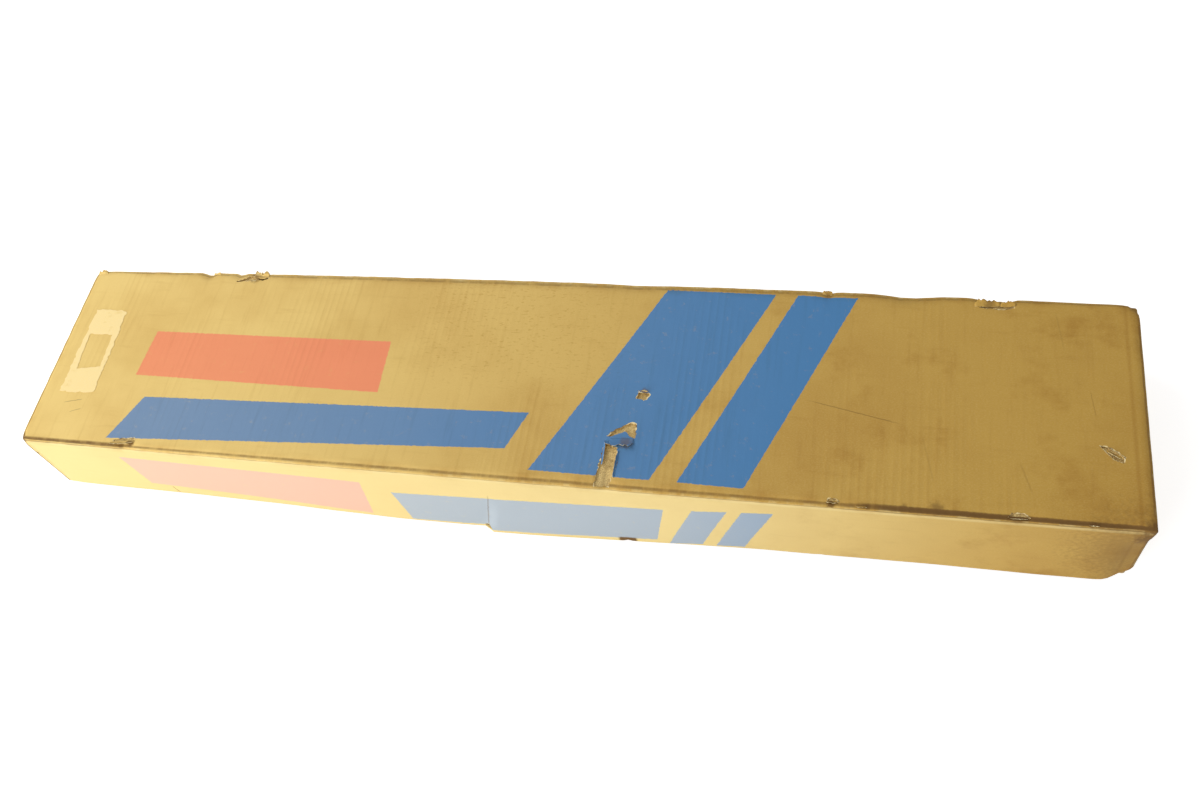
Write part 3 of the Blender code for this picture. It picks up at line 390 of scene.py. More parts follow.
def board_raw(settings):
    """Cut and torn edges, where the fluted middle of the board shows."""
    material, nodes, shader, place = new_finish("board_raw", specular=0.15)
    fibre = nodes.noise(place, 900.0, 5.0, 0.75)
    soot = nodes.noise(place, 120.0, 4.0, 0.6)
    paint = nodes.mix(nodes.ease(fibre, 0.3, 0.7), settings.raw_dark, settings.raw_light)
    paint = nodes.mix(nodes.ease(soot, 0.5, 0.75, 0.0, 0.6), paint, settings.score)
    nodes.coat_with(shader, paint, nodes.ease(fibre, 0.3, 0.8, 0.80, 0.95), nodes.bump(fibre, 0.0004, 0.8))
    return material


def torn_fringe(settings):
    """The liner's own pale plies round a tear."""
    material, nodes, shader, place = new_finish("torn_fringe", specular=0.15)
    fibre = nodes.noise(place, 1100.0, 5.0, 0.75)
    paint = nodes.mix(nodes.ease(fibre, 0.3, 0.75), settings.kraft_pale, settings.torn_pale)
    # Dark patches on the pale plies: painted shade of the torn rim and its flaps.
    dark_rim_shade = nodes.noise(place, 190.0, 3.0, 0.6)
    paint = nodes.mix(nodes.ease(dark_rim_shade, 0.46, 0.58, 0.0, 0.85), paint, settings.score)
    nodes.coat_with(shader, paint, nodes.ease(fibre, 0.3, 0.8, 0.80, 0.95), nodes.bump(fibre, 0.0003, 0.8))
    return material


def old_label(settings):
    """Thin remains of a paper label."""
    material, nodes, shader, place = new_finish("old_label", specular=0.3)
    fibre = nodes.noise(place, 600.0, 4.0, 0.7)
    patch = nodes.noise(place, 90.0, 4.0, 0.6)
    paint = nodes.mix(nodes.ease(patch, 0.55, 0.75, 0.0, 0.6), settings.label, settings.kraft_left)
    paint = nodes.mix(nodes.ease(fibre, 0.4, 0.8, 0.0, 0.25), paint, settings.torn_pale)
    nodes.coat_with(shader, paint, nodes.ease(fibre, 0.3, 0.8, 0.6, 0.8), nodes.bump(fibre, 0.0001, 0.5))
    return material


# ---------------------------------------------------------------- machine finishes

def grained(name, colour, dark, rough, metal=0.0, scale=900.0, depth=0.00006, patchy=0.25, coat=0.0,
            stretch=None, worn=None):
    """A moulded, painted or plated surface: fine grain, uneven tone and, if asked, rubbed spots."""
    material, nodes, shader, place = new_finish(name, metal=metal, coat=coat)
    if coat:
        shader.inputs["Coat Roughness"].default_value = 0.15
    grain = nodes.noise(place, scale if stretch is None else 1.0, 3.0, 0.6, stretch)
    cloud = nodes.noise(place, 14.0, 5.0, 0.6)
    paint = nodes.mix(nodes.ease(cloud, 0.40, 0.75, 0.0, patchy), rgb(*colour), rgb(*dark))
    paint = nodes.mix(nodes.ease(grain, 0.35, 0.75, 0.0, 0.12), paint, rgb(*dark))
    level = nodes.ease(nodes.noise(place, 40.0, 5.0, 0.65), 0.35, 0.75, rough * 0.8, min(1.0, rough * 1.35))
    if worn:
        spots = nodes.noise(place, 150.0, 6.0, 0.7)
        bare = nodes.ease(spots, 0.66, 0.70)
        paint = nodes.mix(nodes.times(bare, 0.6), paint, rgb(*worn))
    nodes.coat_with(shader, paint, level, nodes.bump(grain, depth, 0.7))
    return material


def bead_foam():
    """Expanded beads pressed together."""
    material, nodes, shader, place = new_finish("bead_foam", specular=0.3)
    bead = nodes.cells(place, 260.0)
    seam = nodes.cells(place, 260.0, "DISTANCE_TO_EDGE")
    cloud = nodes.noise(place, 12.0, 4.0, 0.6)
    paint = nodes.mix(nodes.ease(seam, 0.0, 0.09, 0.35, 0.0), rgb(0.86, 0.86, 0.83), rgb(0.52, 0.52, 0.49))
    paint = nodes.mix(nodes.ease(cloud, 0.45, 0.75, 0.0, 0.3), paint, rgb(0.70, 0.66, 0.53))
    nodes.coat_with(shader, paint, nodes.ease(bead, 0.0, 0.8, 0.55, 0.8), nodes.bump(bead, 0.0012, 0.5))
    return material


# ---------------------------------------------------------------- meshes

def link(item):
    bpy.context.scene.collection.objects.link(item)
    return item


def mesh_piece(name, points, faces, materials, slots=None, smooth=True):
    mesh = bpy.data.meshes.new(name)
    mesh.from_pydata([tuple(p) for p in points], [], faces)
    for material in materials:
        mesh.materials.append(material)
    if slots is not None:
        mesh.polygons.foreach_set("material_index", slots)
    if smooth:
        mesh.shade_smooth()
    mesh.update()
    return link(bpy.data.objects.new(name, mesh))


def placed(piece, body, slot=None, stands_for=None):
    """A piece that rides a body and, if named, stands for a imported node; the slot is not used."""
    if stands_for:
        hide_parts(stands_for)
    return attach(piece, body)


def plain_piece(name, mesh, materials, body, slot, stands_for=None):
    for material in materials:
        mesh.materials.append(material)
    return placed(link(bpy.data.objects.new(name, mesh)), body, slot, stands_for)


def smooth_below(mesh, degrees):
    mesh.shade_smooth()
    mesh.set_sharp_from_angle(angle=math.radians(degrees))


def spaced(half, step, fine):
    """Coordinates from -half to half: fine ones next to both ends, even ones between."""
    inner = half - fine[-1]
    count = max(2, round(2 * inner / step))
    middle = [-inner + 2 * inner * k / count for k in range(count + 1)]
    return [-half + f for f in fine[:-1]] + middle + [half - f for f in reversed(fine[:-1])]


FOLD_STEPS = (0.0, 0.0007, 0.0014, 0.0021, 0.0028, 0.0035, 0.0045, 0.0065, 0.0095)


def rounded(points, half_x, half_y, edge, radius, up):
    """Pulls points of a box in to a rounded box; the closed panel lies at z = edge, the open side is sharp."""
    limit = edge - up * radius
    core = points.copy()
    core[:, 0] = np.clip(points[:, 0], -half_x + radius, half_x - radius)
    core[:, 1] = np.clip(points[:, 1], -half_y + radius, half_y - radius)
    core[:, 2] = np.minimum(points[:, 2], limit) if up > 0 else np.maximum(points[:, 2], limit)
    away = points - core
    length = np.linalg.norm(away, axis=1)
    scale = np.where(length > 1e-9, radius / np.maximum(length, 1e-9), 0.0)
    return core + away * scale[:, None]


class BoxSheet:
    """One half of a telescoping carton: outer and inner liners on one grid, and an open rim between them."""

    def __init__(self, half_x, half_y, open_z, closed_z, step, radius):
        self.up = 1 if closed_z > open_z else -1
        self.half_x, self.half_y, self.open_z, self.closed_z = half_x, half_y, open_z, closed_z
        self.radius = radius
        self.xs = spaced(half_x, step, FOLD_STEPS)
        self.ys = spaced(half_y, step, FOLD_STEPS)
        height = abs(closed_z - open_z)
        count = round((height - FOLD_STEPS[-1]) / step)
        downs = list(FOLD_STEPS[:-1])
        downs += [FOLD_STEPS[-1] + (height - FOLD_STEPS[-1]) * k / count for k in range(count + 1)]
        self.zs = [closed_z - self.up * d for d in reversed(downs)]
        self.ids, self.rest, self.quads, self.flat = {}, [], [], []

    def at(self, i, j, k):
        key = (i, j, k)
        if key not in self.ids:
            self.ids[key] = len(self.rest)
            self.rest.append((self.xs[i], self.ys[j], self.zs[k]))
        return self.ids[key]

    def panel(self, corners, unfold):
        """A quad given by four grid keys, anticlockwise from outside on an upright box."""
        if self.up < 0:
            corners = corners[::-1]
        self.quads.append([self.at(*c) for c in corners])
        self.flat.append([unfold(self.xs[i], self.ys[j], self.zs[k]) for i, j, k in corners])

    def lay_out(self):
        nx, ny, nz = len(self.xs) - 1, len(self.ys) - 1, len(self.zs) - 1
        edge, up = self.closed_z, self.up
        for i in range(nx):
            for j in range(ny):
                corners = [(i, j, nz), (i + 1, j, nz), (i + 1, j + 1, nz), (i, j + 1, nz)]
                self.panel(corners, lambda x, y, z: (x, y))
            for k in range(nz):
                corners = [(i, 0, k), (i + 1, 0, k), (i + 1, 0, k + 1), (i, 0, k + 1)]
                self.panel(corners, lambda x, y, z: (x, y - up * (edge - z)))
                corners = [(i + 1, ny, k), (i, ny, k), (i, ny, k + 1), (i + 1, ny, k + 1)]
                self.panel(corners, lambda x, y, z: (x, y + up * (edge - z)))
        for j in range(ny):
            for k in range(nz):
                corners = [(0, j + 1, k), (0, j, k), (0, j, k + 1), (0, j + 1, k + 1)]
                self.panel(corners, lambda x, y, z: (x - up * (edge - z), y))
                corners = [(nx, j, k), (nx, j + 1, k), (nx, j + 1, k + 1), (nx, j, k + 1)]
                self.panel(corners, lambda x, y, z: (x + up * (edge - z), y))

    def rim(self):
        """Grid keys round the open edge, anticlockwise from above."""
        nx, ny = len(self.xs) - 1, len(self.ys) - 1
        ring = [(i, 0, 0) for i in range(nx)] + [(nx, j, 0) for j in range(ny)]
        ring += [(i, ny, 0) for i in range(nx, 0, -1)] + [(0, j, 0) for j in range(ny, 0, -1)]
        return [self.ids[key] for key in ring]

    def build(self, name, weather, materials, groove):
        self.lay_out()
        rest = np.array(self.rest)
        shift_out, shift_in = weather(rest)
        radius = self.radius
        outer = rounded(rest, self.half_x, self.half_y, self.closed_z, radius, self.up)
        inner_rest = rest.copy()
        inner_rest[:, 0] *= (self.half_x - BOARD) / self.half_x
        inner_rest[:, 1] *= (self.half_y - BOARD) / self.half_y
        floor = self.closed_z - self.up * BOARD
        share = (rest[:, 2] - self.open_z) / (self.closed_z - self.open_z)
        inner_rest[:, 2] = self.open_z + share * (floor - self.open_z)
        inner = rounded(inner_rest, self.half_x - BOARD, self.half_y - BOARD, floor, radius * 0.4, self.up)
        outer, inner = outer + shift_out, inner + shift_in
        count = len(rest)
        points = np.vstack([outer, inner])
        faces = [list(q) for q in self.quads]
        faces += [[count + c for c in reversed(q)] for q in self.quads]
        slots = [0] * len(self.quads) + [1] * len(self.quads)
        ring = self.rim()
        across = inner[ring] - outer[ring]
        deep = np.array((0, 0, self.up * groove))
        near, far = outer[ring] + across * (LINER / BOARD), outer[ring] + across * (1 - LINER / BOARD)
        start, size = len(points), len(ring)
        points = np.vstack([points, near, near + deep, far + deep, far])
        steps = [ring] + [list(range(start + size * s, start + size * (s + 1))) for s in range(4)]
        steps.append([count + r for r in ring])
        for before, after in zip(steps, steps[1:]):
            for r in range(size):
                n = (r + 1) % size
                face = [before[r], after[r], after[n], before[n]]
                faces.append(face if self.up > 0 else face[::-1])
                slots.append(2)
        piece = mesh_piece(name, points, faces, materials, slots)
        layer = piece.data.uv_layers.new(name="flat_sheet")
        flat = np.zeros((len(piece.data.loops), 2), np.float32)
        mapped = np.array(self.flat, np.float32).reshape(-1, 2)
        flat[: len(mapped)] = mapped
        layer.data.foreach_set("uv", flat.ravel())
        return piece, near, far


# ---------------------------------------------------------------- wear of the lid

def ramp(values, low, high):
    t = np.clip((values - low) / (high - low), 0, 1)
    return t * t * (3 - 2 * t)


def bell(values, centre, width):
    return np.exp(-(((values - centre) / width) ** 2))


def rough_field(points, scale, seed):
    """Smooth noise of about -1 to 1 at each point."""
    offset = Vector((seed * 17.3, seed * 5.1, seed * 9.7))
    return np.array([noise.noise(Vector(p) * scale + offset) for p in points])


BACK_KNOCKS = (  # x, width, depth into the fold
    (-0.423, 0.006, 0.0034), (-0.381, 0.0035, 0.0022), (-0.352, 0.005, 0.0020), (0.292, 0.006, 0.0016),
    (0.371, 0.022, 0.0024), (0.446, 0.009, 0.0034), (0.462, 0.006, 0.0026), (0.100, 0.040, 0.0008),
)
FRONT_KNOCKS = (
    (-0.443, 0.010, 0.0022), (-0.121, 0.008, 0.0010), (0.051, 0.009, 0.0012), (0.100, 0.010, 0.0022),
    (0.310, 0.005, 0.0012), (0.476, 0.016, 0.0014), (0.560, 0.014, 0.0020),
)
DEEPEST = 0.0030  # how far the outer liner may be crushed in
INNER_GIVE = 0.0003  # how far the inner liner follows it


def lid_wear(rest):
    """Shifts of the lid's outer and inner liners; the board crushes, so the inner one gives in less."""
    x, y, z = rest[:, 0], rest[:, 1], rest[:, 2]
    half_x, half_y, top = LID_HIGH.x, LID_HIGH.y, LID_HIGH.z
    down = top - z
    on_top = ramp(down, 0.004, 0.0)
    front, back = ramp(-y, half_y - 0.004, half_y), ramp(y, half_y - 0.004, half_y)
    ends = ramp(np.abs(x), half_x - 0.004, half_x)
    out = np.zeros_like(rest)
    into = np.zeros_like(rest)

    slow = rough_field(rest, 6.0, 1)
    mid = rough_field(rest, 24.0, 2)
    quick = rough_field(rest, 90.0, 3)
    # the top sags a little, and its long sides bow
    middle = (1 - (x / half_x) ** 2) * (1 - (y / half_y) ** 2)
    bow = 1 - (x / half_x) ** 2
    out[:, 2] += ramp(down, 0.035, 0.0) * bow * 0.0026
    into[:, 2] -= on_top * middle * (0.0012 + 0.0006 * slow)
    out[:, 1] += (back * 0.0042 - front * 0.0034) * bow
    out[:, 2] += on_top * middle * np.maximum(0, 0.0006 * mid)
    into[:, 2] -= on_top * 0.0008 * bell(np.hypot(x - 0.526, (y - 0.033)), 0, 0.0045)

    # grooves beside the folds
    from_side = np.minimum(half_y - np.abs(y), half_x - np.abs(x))
    scored = on_top * bell(from_side, 0.0028, 0.0009)
    scored_wall = (1 - on_top) * bell(down, 0.0032, 0.0009)
    into[:, 2] -= 0.00045 * scored
    into[:, 1] += (front - back) * 0.00030 * scored_wall

    # knocks into the folds
    folds = bell(np.hypot(np.minimum(from_side, 1.0), down), 0, 0.006)
    into[:, 2] -= folds * np.maximum(0, 0.0006 + 0.0012 * quick) * 0.5
    for place, width, depth in BACK_KNOCKS:
        hit = depth * bell(x, place, width) * bell(np.hypot(half_y - y, down), 0, 0.007)
        into[:, 1] -= hit * 0.8
        into[:, 2] -= hit
    for place, width, depth in FRONT_KNOCKS:
        hit = depth * bell(x, place, width) * bell(np.hypot(half_y + y, down), 0, 0.006)
        into[:, 1] += hit * 0.7
        into[:, 2] -= hit

    # the bent right end and the crushed corners
    bent = np.clip((x - (half_x - 0.013)) / 0.013, 0, 1) ** 2
    into[:, 2] -= 0.0012 * bent * ramp(down, 0.030, 0.0) * (0.8 + 0.4 * slow)
    corner = bell(np.hypot(half_x - x, half_y + y), 0, 0.014)
    into[:, 0] -= 0.0046 * corner * ramp(z, 0.106, 0.070)
    into[:, 1] += 0.0032 * corner * ramp(z, 0.090, 0.060)
    for side_x, side_y, size in ((-1, -1, 0.0012), (-1, 1, 0.0010), (1, 1, 0.0030)):
        near = bell(np.sqrt((half_x - side_x * x) ** 2 + (half_y - side_y * y) ** 2 + (down * 0.7) ** 2), 0, 0.007)
        into[:, 0] -= side_x * size * near
        into[:, 1] -= side_y * size * near
        into[:, 2] -= size * near

    # skirts that flare towards their lower edge, with a pinched crease on the front
    height = top - LID_LOW.z
    hang = np.clip(down / height, 0, 1)
    flare = 0.0010 + 0.0042 * bell(x, -0.15, 0.15) + 0.0020 * bell(x, 0.28, 0.20) + 0.0030 * bell(x, 0.53, 0.10)
    flare += 0.0006 * slow
    out[:, 1] -= front * flare * hang ** 1.6 * ramp(np.abs(x), half_x, half_x - 0.03)
    crease = -0.030 - 0.016 * np.clip((0.068 - z) / 0.068, 0, 1) ** 2
    past = ramp(x, crease - 0.0020, crease + 0.0028) * ramp(-x, -0.26, 0.0)
    out[:, 1] -= front * 0.0066 * past * ramp(z, 0.076, 0.0)
    out[:, 2] -= front * 0.0022 * ramp(z, 0.030, 0.0) * bell(x, 0.02, 0.20)
    out[:, 1] += back * (0.0008 + 0.0008 * slow) * hang ** 1.5
    out[:, 0] += ends * np.sign(x) * (0.0009 + 0.0009 * slow) * hang ** 1.4

    # the curled front right corner, notches and waves in the lower edge
    curl = np.clip((x - 0.556) / 0.024, 0, 1) ** 1.5 * ramp(-y, 0.075, half_y)
    out[:, 2] += 0.016 * curl * hang ** 2.2
    curl_end = ends * (x > 0) * ramp(-y, 0.070, half_y) ** 1.5
    out[:, 2] += 0.004 * curl_end * hang ** 2.2
    notch = bell(x, 0.1075, 0.0075) ** 4 + bell(x, 0.301, 0.003) ** 2 * 0.5
    out[:, 2] += front * 0.0028 * notch * ramp(hang, 0.93, 1.0)
    out[:, 2] += (front + back) * np.maximum(0, 0.0009 * mid + 0.0004) * ramp(hang, 0.8, 1.0)

    # no crush deeper than the board bears, and less of it on the inside
    length = np.maximum(np.linalg.norm(into, axis=1), 1e-9)
    into *= np.minimum(1.0, DEEPEST / length)[:, None]
    length = np.minimum(length, DEEPEST)
    give = into * np.minimum(1.0, INNER_GIVE / length)[:, None]
    return out + into, out + give


def tray_wear(rest):
    """Slight waves in the tray's walls, small enough to stay inside the lid."""
    x, y, z = rest[:, 0], rest[:, 1], rest[:, 2]
    slow = rough_field(rest, 9.0, 5)
    shift = np.zeros_like(rest)
    rise = z / TRAY_HIGH.z
    front_back = ramp(np.abs(y), TRAY_HIGH.y - 0.004, TRAY_HIGH.y) * ramp(np.abs(x), TRAY_HIGH.x, 0.5)
    shift[:, 1] -= np.sign(y) * front_back * rise * (0.0001 + 0.0001 * slow)
    shift[:, 2] -= ramp(rise, 0.9, 1.0) * 0.0003 * (1 + slow)
    return shift, shift


# ---------------------------------------------------------------- Geometry Nodes

class GeometryTree(Nodes):
    """A Geometry Nodes tree with named inputs, applied once to a base object."""

    def __init__(self, name, inputs):
        super().__init__(bpy.data.node_groups.new(name, "GeometryNodeTree"))
        face = self.tree.interface
        face.new_socket("Geometry", in_out="INPUT", socket_type="NodeSocketGeometry")
        self.sockets = {}
        for label, kind, value in inputs:
            socket = face.new_socket(label, in_out="INPUT", socket_type=kind)
            self.sockets[label] = (socket.identifier, value)
        face.new_socket("Geometry", in_out="OUTPUT", socket_type="NodeSocketGeometry")
        self.given = self.tree.nodes.new("NodeGroupInput")

    def close(self, geometry):
        """Ends the tree in Realize Instances and Set Material."""
        real = self.add("GeometryNodeRealizeInstances", {0: geometry})
        done = self.add("GeometryNodeSetMaterial", {"Geometry": real, "Material": self.given.outputs["Material"]})
        self.add("NodeGroupOutput", {0: done})

    def grow(self, name, base, body, slot):
        """Evaluates the tree on a base mesh and returns the plain mesh, riding on a body."""
        holder = link(bpy.data.objects.new(name + "_base", base))
        modifier = holder.modifiers.new("grow", "NODES")
        modifier.node_group = self.tree
        for identifier, value in self.sockets.values():
            modifier[identifier] = value
        piece = converted(holder, name)
        smooth_below(piece.data, CREASE_ANGLE)
        return placed(piece, body, slot)


def points_mesh(name, points, turns=None, sizes=None):
    """Loose points with a turn (Euler) and a size for what is set on them."""
    mesh = bpy.data.meshes.new(name)
    mesh.from_pydata([tuple(p) for p in points], [], [])
    turn = mesh.attributes.new("turn", "FLOAT_VECTOR", "POINT")
    size = mesh.attributes.new("size", "FLOAT_VECTOR", "POINT")
    for k in range(len(points)):
        turn.data[k].vector = turns[k] if turns else (0, 0, 0)
        size.data[k].vector = sizes[k] if sizes else (1, 1, 1)
    return mesh


def set_out(name, unit, places, body, made, slot, look=None):
    """Repeats a unit mesh at (points, turns, sizes), as one piece that rides a body."""
    unit_object = link(bpy.data.objects.new(name + "_unit", unit))
    tree = GeometryTree(name, [
        ("Unit", "NodeSocketObject", unit_object), ("Material", "NodeSocketMaterial", made[look or slot]),
    ])
    info = tree.add("GeometryNodeObjectInfo", {"Object": tree.given.outputs["Unit"]}, 4, transform_space="ORIGINAL")
    turn, size = (tree.add("GeometryNodeInputNamedAttribute", {"Name": label}, data_type="FLOAT_VECTOR")
                  for label in ("turn", "size"))
    rotation = tree.add("FunctionNodeEulerToRotation", {0: turn})
    inputs = {"Points": tree.given.outputs[0], "Instance": info, "Rotation": rotation, "Scale": size}
    tree.close(tree.add("GeometryNodeInstanceOnPoints", inputs))
    piece = tree.grow(name, points_mesh(name, *places), body, slot)
    bpy.data.objects.remove(unit_object)
    return piece


def bmesh_unit(name, make):
    """A small mesh made by a function that fills a bmesh."""
    bm = bmesh.new()
    make(bm)
    bmesh.ops.recalc_face_normals(bm, faces=bm.faces)
    mesh = bpy.data.meshes.new(name)
    bm.to_mesh(mesh)
    bm.free()
    return mesh


def mend(mesh, weld=0.0, triangles=False):
    """Welds a mesh's doubles, cuts it into triangles if asked, and turns its faces outwards."""
    bm = bmesh.new()
    bm.from_mesh(mesh)
    if weld:
        bmesh.ops.remove_doubles(bm, verts=bm.verts, dist=weld)
    if triangles:
        bmesh.ops.triangulate(bm, faces=bm.faces)
    bmesh.ops.recalc_face_normals(bm, faces=bm.faces)
    bm.to_mesh(mesh)
    bm.free()


def add_block(bm, low, high, chamfer=0.0):
    """A box between two corners, with chamfered edges."""
    size = Vector(high) - Vector(low)
    middle = (Vector(high) + Vector(low)) / 2
    made = bmesh.ops.create_cube(bm, size=1.0, matrix=Matrix.Translation(middle) @ Matrix.Diagonal((*size, 1.0)))
    if chamfer:
        edges = {e for v in made["verts"] for e in v.link_edges}
        bmesh.ops.bevel(bm, geom=list(edges), offset=chamfer, segments=1, affect="EDGES")


def block_unit(low, high, chamfer=0.0):
    return bmesh_unit("block", lambda bm: add_block(bm, low, high, chamfer))


def add_turned(bm, profile, steps, matrix=None):
    """A closed turned shape about Z from (radius, height) points, from its bottom centre to its top centre."""
    rings = []
    for radius, height in profile:
        if radius < 1e-7:
            rings.append([bm.verts.new((0, 0, height))])
        else:
            turns = [2 * math.pi * k / steps for k in range(steps)]
            rings.append([bm.verts.new((radius * math.cos(a), radius * math.sin(a), height)) for a in turns])
    for low, high in zip(rings, rings[1:]):
        for k in range(steps):
            n = (k + 1) % steps
            corners = [low[k % len(low)], low[n % len(low)], high[n % len(high)], high[k % len(high)]]
            unique = [c for p, c in enumerate(corners) if c not in corners[:p]]
            if len(unique) > 2:
                bm.faces.new(unique)
    if matrix is not None:
        made = [v for ring in rings for v in ring]
        bmesh.ops.transform(bm, matrix=matrix, verts=made)


def converted(item, name):
    """A plain mesh object of what an object evaluates to; the first object is removed."""
    bpy.context.view_layer.update()
    graph = bpy.context.evaluated_depsgraph_get()
    mesh = bpy.data.meshes.new_from_object(item.evaluated_get(graph))
    mesh.transform(item.matrix_world)
    bpy.data.objects.remove(item)
    mesh.name = name
    return link(bpy.data.objects.new(name, mesh))


# ---------------------------------------------------------------- the carton

def ragged(points, step, jitter, seed):
    """An outline broken up every step, with each new point moved at random."""
    rng = random.Random(seed)
    out = []
    for start, end in zip(points, points[1:] + points[:1]):
        a, b = Vector(start), Vector(end)
        count = max(1, round((b - a).length / step))
        for k in range(count):
            p = a.lerp(b, k / count)
            out.append((p.x + rng.uniform(-jitter, jitter), p.y + rng.uniform(-jitter, jitter)))
    return out


def on_lid(points):
    """Points on the lid's flat top, moved as the worn lid's outer liner is."""
    flat = np.array([(p[0], p[1], LID_HIGH.z) for p in points])
    shift, _ = lid_wear(flat)
    return np.array([tuple(p) for p in points]) + shift


def prism(name, outline, low, high, material):
    def make(bm):
        face = bm.faces.new([bm.verts.new((x, y, low)) for x, y in outline])
        made = bmesh.ops.extrude_face_region(bm, geom=[face])
        top = [v for v in made["geom"] if isinstance(v, bmesh.types.BMVert)]
        bmesh.ops.translate(bm, verts=top, vec=(0, 0, high - low))
        bmesh.ops.triangulate(bm, faces=bm.faces)

    mesh = bmesh_unit(name, make)
    mesh.materials.append(material)
    return link(bpy.data.objects.new(name, mesh))


def fluted_slab(name, outline, pitch, depth, height, material):
    """A block under a wavy floor, wide enough to hold the outline."""
    xs = [p[0] for p in outline]
    ys = [p[1] for p in outline]
    count = max(4, round((max(xs) - min(xs) + 0.01) / (pitch / 10)))
    low_x, high_x, low_y, high_y = min(xs) - 0.005, max(xs) + 0.005, min(ys) - 0.005, max(ys) + 0.005
    points, faces = [], []
    for k in range(count + 1):
        x = low_x + (high_x - low_x) * k / count
        floor = LID_HIGH.z - depth + 0.0002 * math.sin(2 * math.pi * x / pitch)
        points += [(x, low_y, floor), (x, high_y, floor), (x, high_y, height), (x, low_y, height)]
    for k in range(count):
        a, b = 4 * k, 4 * k + 4
        faces += [(a + s, a + (s + 1) % 4, b + (s + 1) % 4, b + s) for s in range(4)]
    faces += [(3, 2, 1, 0), tuple(4 * count + s for s in range(4))]
    slab = mesh_piece(name, points, faces, [material], smooth=False)
    mend(slab.data)
    return slab


NUDGE = Vector((0.00009, -0.00007, -0.00005))
LEAST_KEPT = 0.9  # share of its faces that a cut piece must keep


def sound(mesh, least):
    """True for a mesh of enough faces whose edges all join two of them."""
    edges = np.empty(len(mesh.loops), dtype=np.int32)
    mesh.loops.foreach_get("edge_index", edges)
    return len(mesh.polygons) > least and bool((np.bincount(edges, minlength=len(mesh.edges)) == 2).all())


def cut(item, cutter, operation="DIFFERENCE"):
    """A cut by the exact solver. While the result has a fault the cutter is moved a little; in the end the cut is
    left out, so that a bad one can't harm the rest."""
    modifier = item.modifiers.new("cut", "BOOLEAN")
    modifier.operation, modifier.object, modifier.solver = operation, cutter, "EXACT"
    modifier.material_mode = "TRANSFER"
    least = LEAST_KEPT * len(item.data.polygons) if operation == "DIFFERENCE" else 4
    for _ in range(4):
        bpy.context.view_layer.update()
        result = item.evaluated_get(bpy.context.evaluated_depsgraph_get()).data
        if sound(result, least):
            break
        cutter.location += NUDGE
    else:
        item.modifiers.clear()
    made = converted(item, item.name)
    bpy.data.objects.remove(cutter)
    return made


TEARS = (  # outline in metres, depth below the surface, fringe width
    ([(0.1140, -0.0100), (0.1200, -0.0085), (0.1255, -0.0125), (0.1215, -0.0195), (0.1130, -0.0180)], 0.0026, 0.0009),
    ([(0.1110, -0.0470), (0.1165, -0.0480), (0.1180, -0.0640), (0.1130, -0.0630), (0.1070, -0.0570),
      (0.0940, -0.0640), (0.0900, -0.0640), (0.0960, -0.0580)], 0.0024, 0.0011),
    ([(0.0890, -0.0740), (0.0960, -0.0720), (0.1020, -0.0770), (0.1040, -0.0950), (0.1000, -0.1175),
      (0.0855, -0.1175), (0.0875, -0.0950)], 0.0012, 0.0009),
    ([(0.5380, -0.0385), (0.5440, -0.0390), (0.5500, -0.0430), (0.5570, -0.0480), (0.5565, -0.0540),
      (0.5490, -0.0520), (0.5440, -0.0465)], 0.0026, 0.0010),
    ([(-0.3850, 0.1085), (-0.3670, 0.1100), (-0.3450, 0.1140), (-0.3470, 0.1165), (-0.3700, 0.1160)], 0.0026, 0.0009),
    ([(-0.4590, -0.1110), (-0.4480, -0.1085), (-0.4350, -0.1065), (-0.4330, -0.1105), (-0.4560, -0.1135)], 0.0011,
     0.0008),
    ([(0.3040, -0.1160), (0.3060, -0.1125), (0.3130, -0.1130), (0.3150, -0.1160)], 0.0014, 0.0007),
    ([(0.4600, -0.1160), (0.4640, -0.1120), (0.4740, -0.1125), (0.4780, -0.1160)], 0.0014, 0.0008),
    ([(0.4370, 0.1090), (0.4560, 0.1075), (0.4680, 0.1095), (0.4680, 0.1120), (0.4400, 0.1120)], 0.0014, 0.0010),
)


def grown(outline, by):
    centre = sum((Vector(p) for p in outline), Vector((0, 0))) / len(outline)
    return [tuple(Vector(p) + (Vector(p) - centre).normalized() * by) for p in outline]


def settle(item):
    """Moves a cutter's points as the lid's surface under them moved."""
    points = on_lid([v.co for v in item.data.vertices])
    item.data.vertices.foreach_set("co", points.astype(np.float32).ravel())


def tear_lid(lid, finishes, pitch):
    for number, (outline, depth, fringe) in enumerate(TEARS):
        top = LID_HIGH.z + 0.004
        wide = prism("fringe", ragged(grown(outline, fringe), 0.0022, 0.0008, 40 + number), LID_HIGH.z - 0.0003, top,
                     finishes["torn_fringe"])
        settle(wide)
        lid = cut(lid, wide)
        core = prism("core", ragged(outline, 0.0022, 0.0005, 80 + number), LID_HIGH.z - 0.02, LID_HIGH.z + 0.02,
                     finishes["board_raw"])
        slab = fluted_slab("slab", outline, pitch, depth, top, finishes["board_raw"])
        core = cut(core, slab, "INTERSECT")
        settle(core)
        lid = cut(lid, core)
    return lid


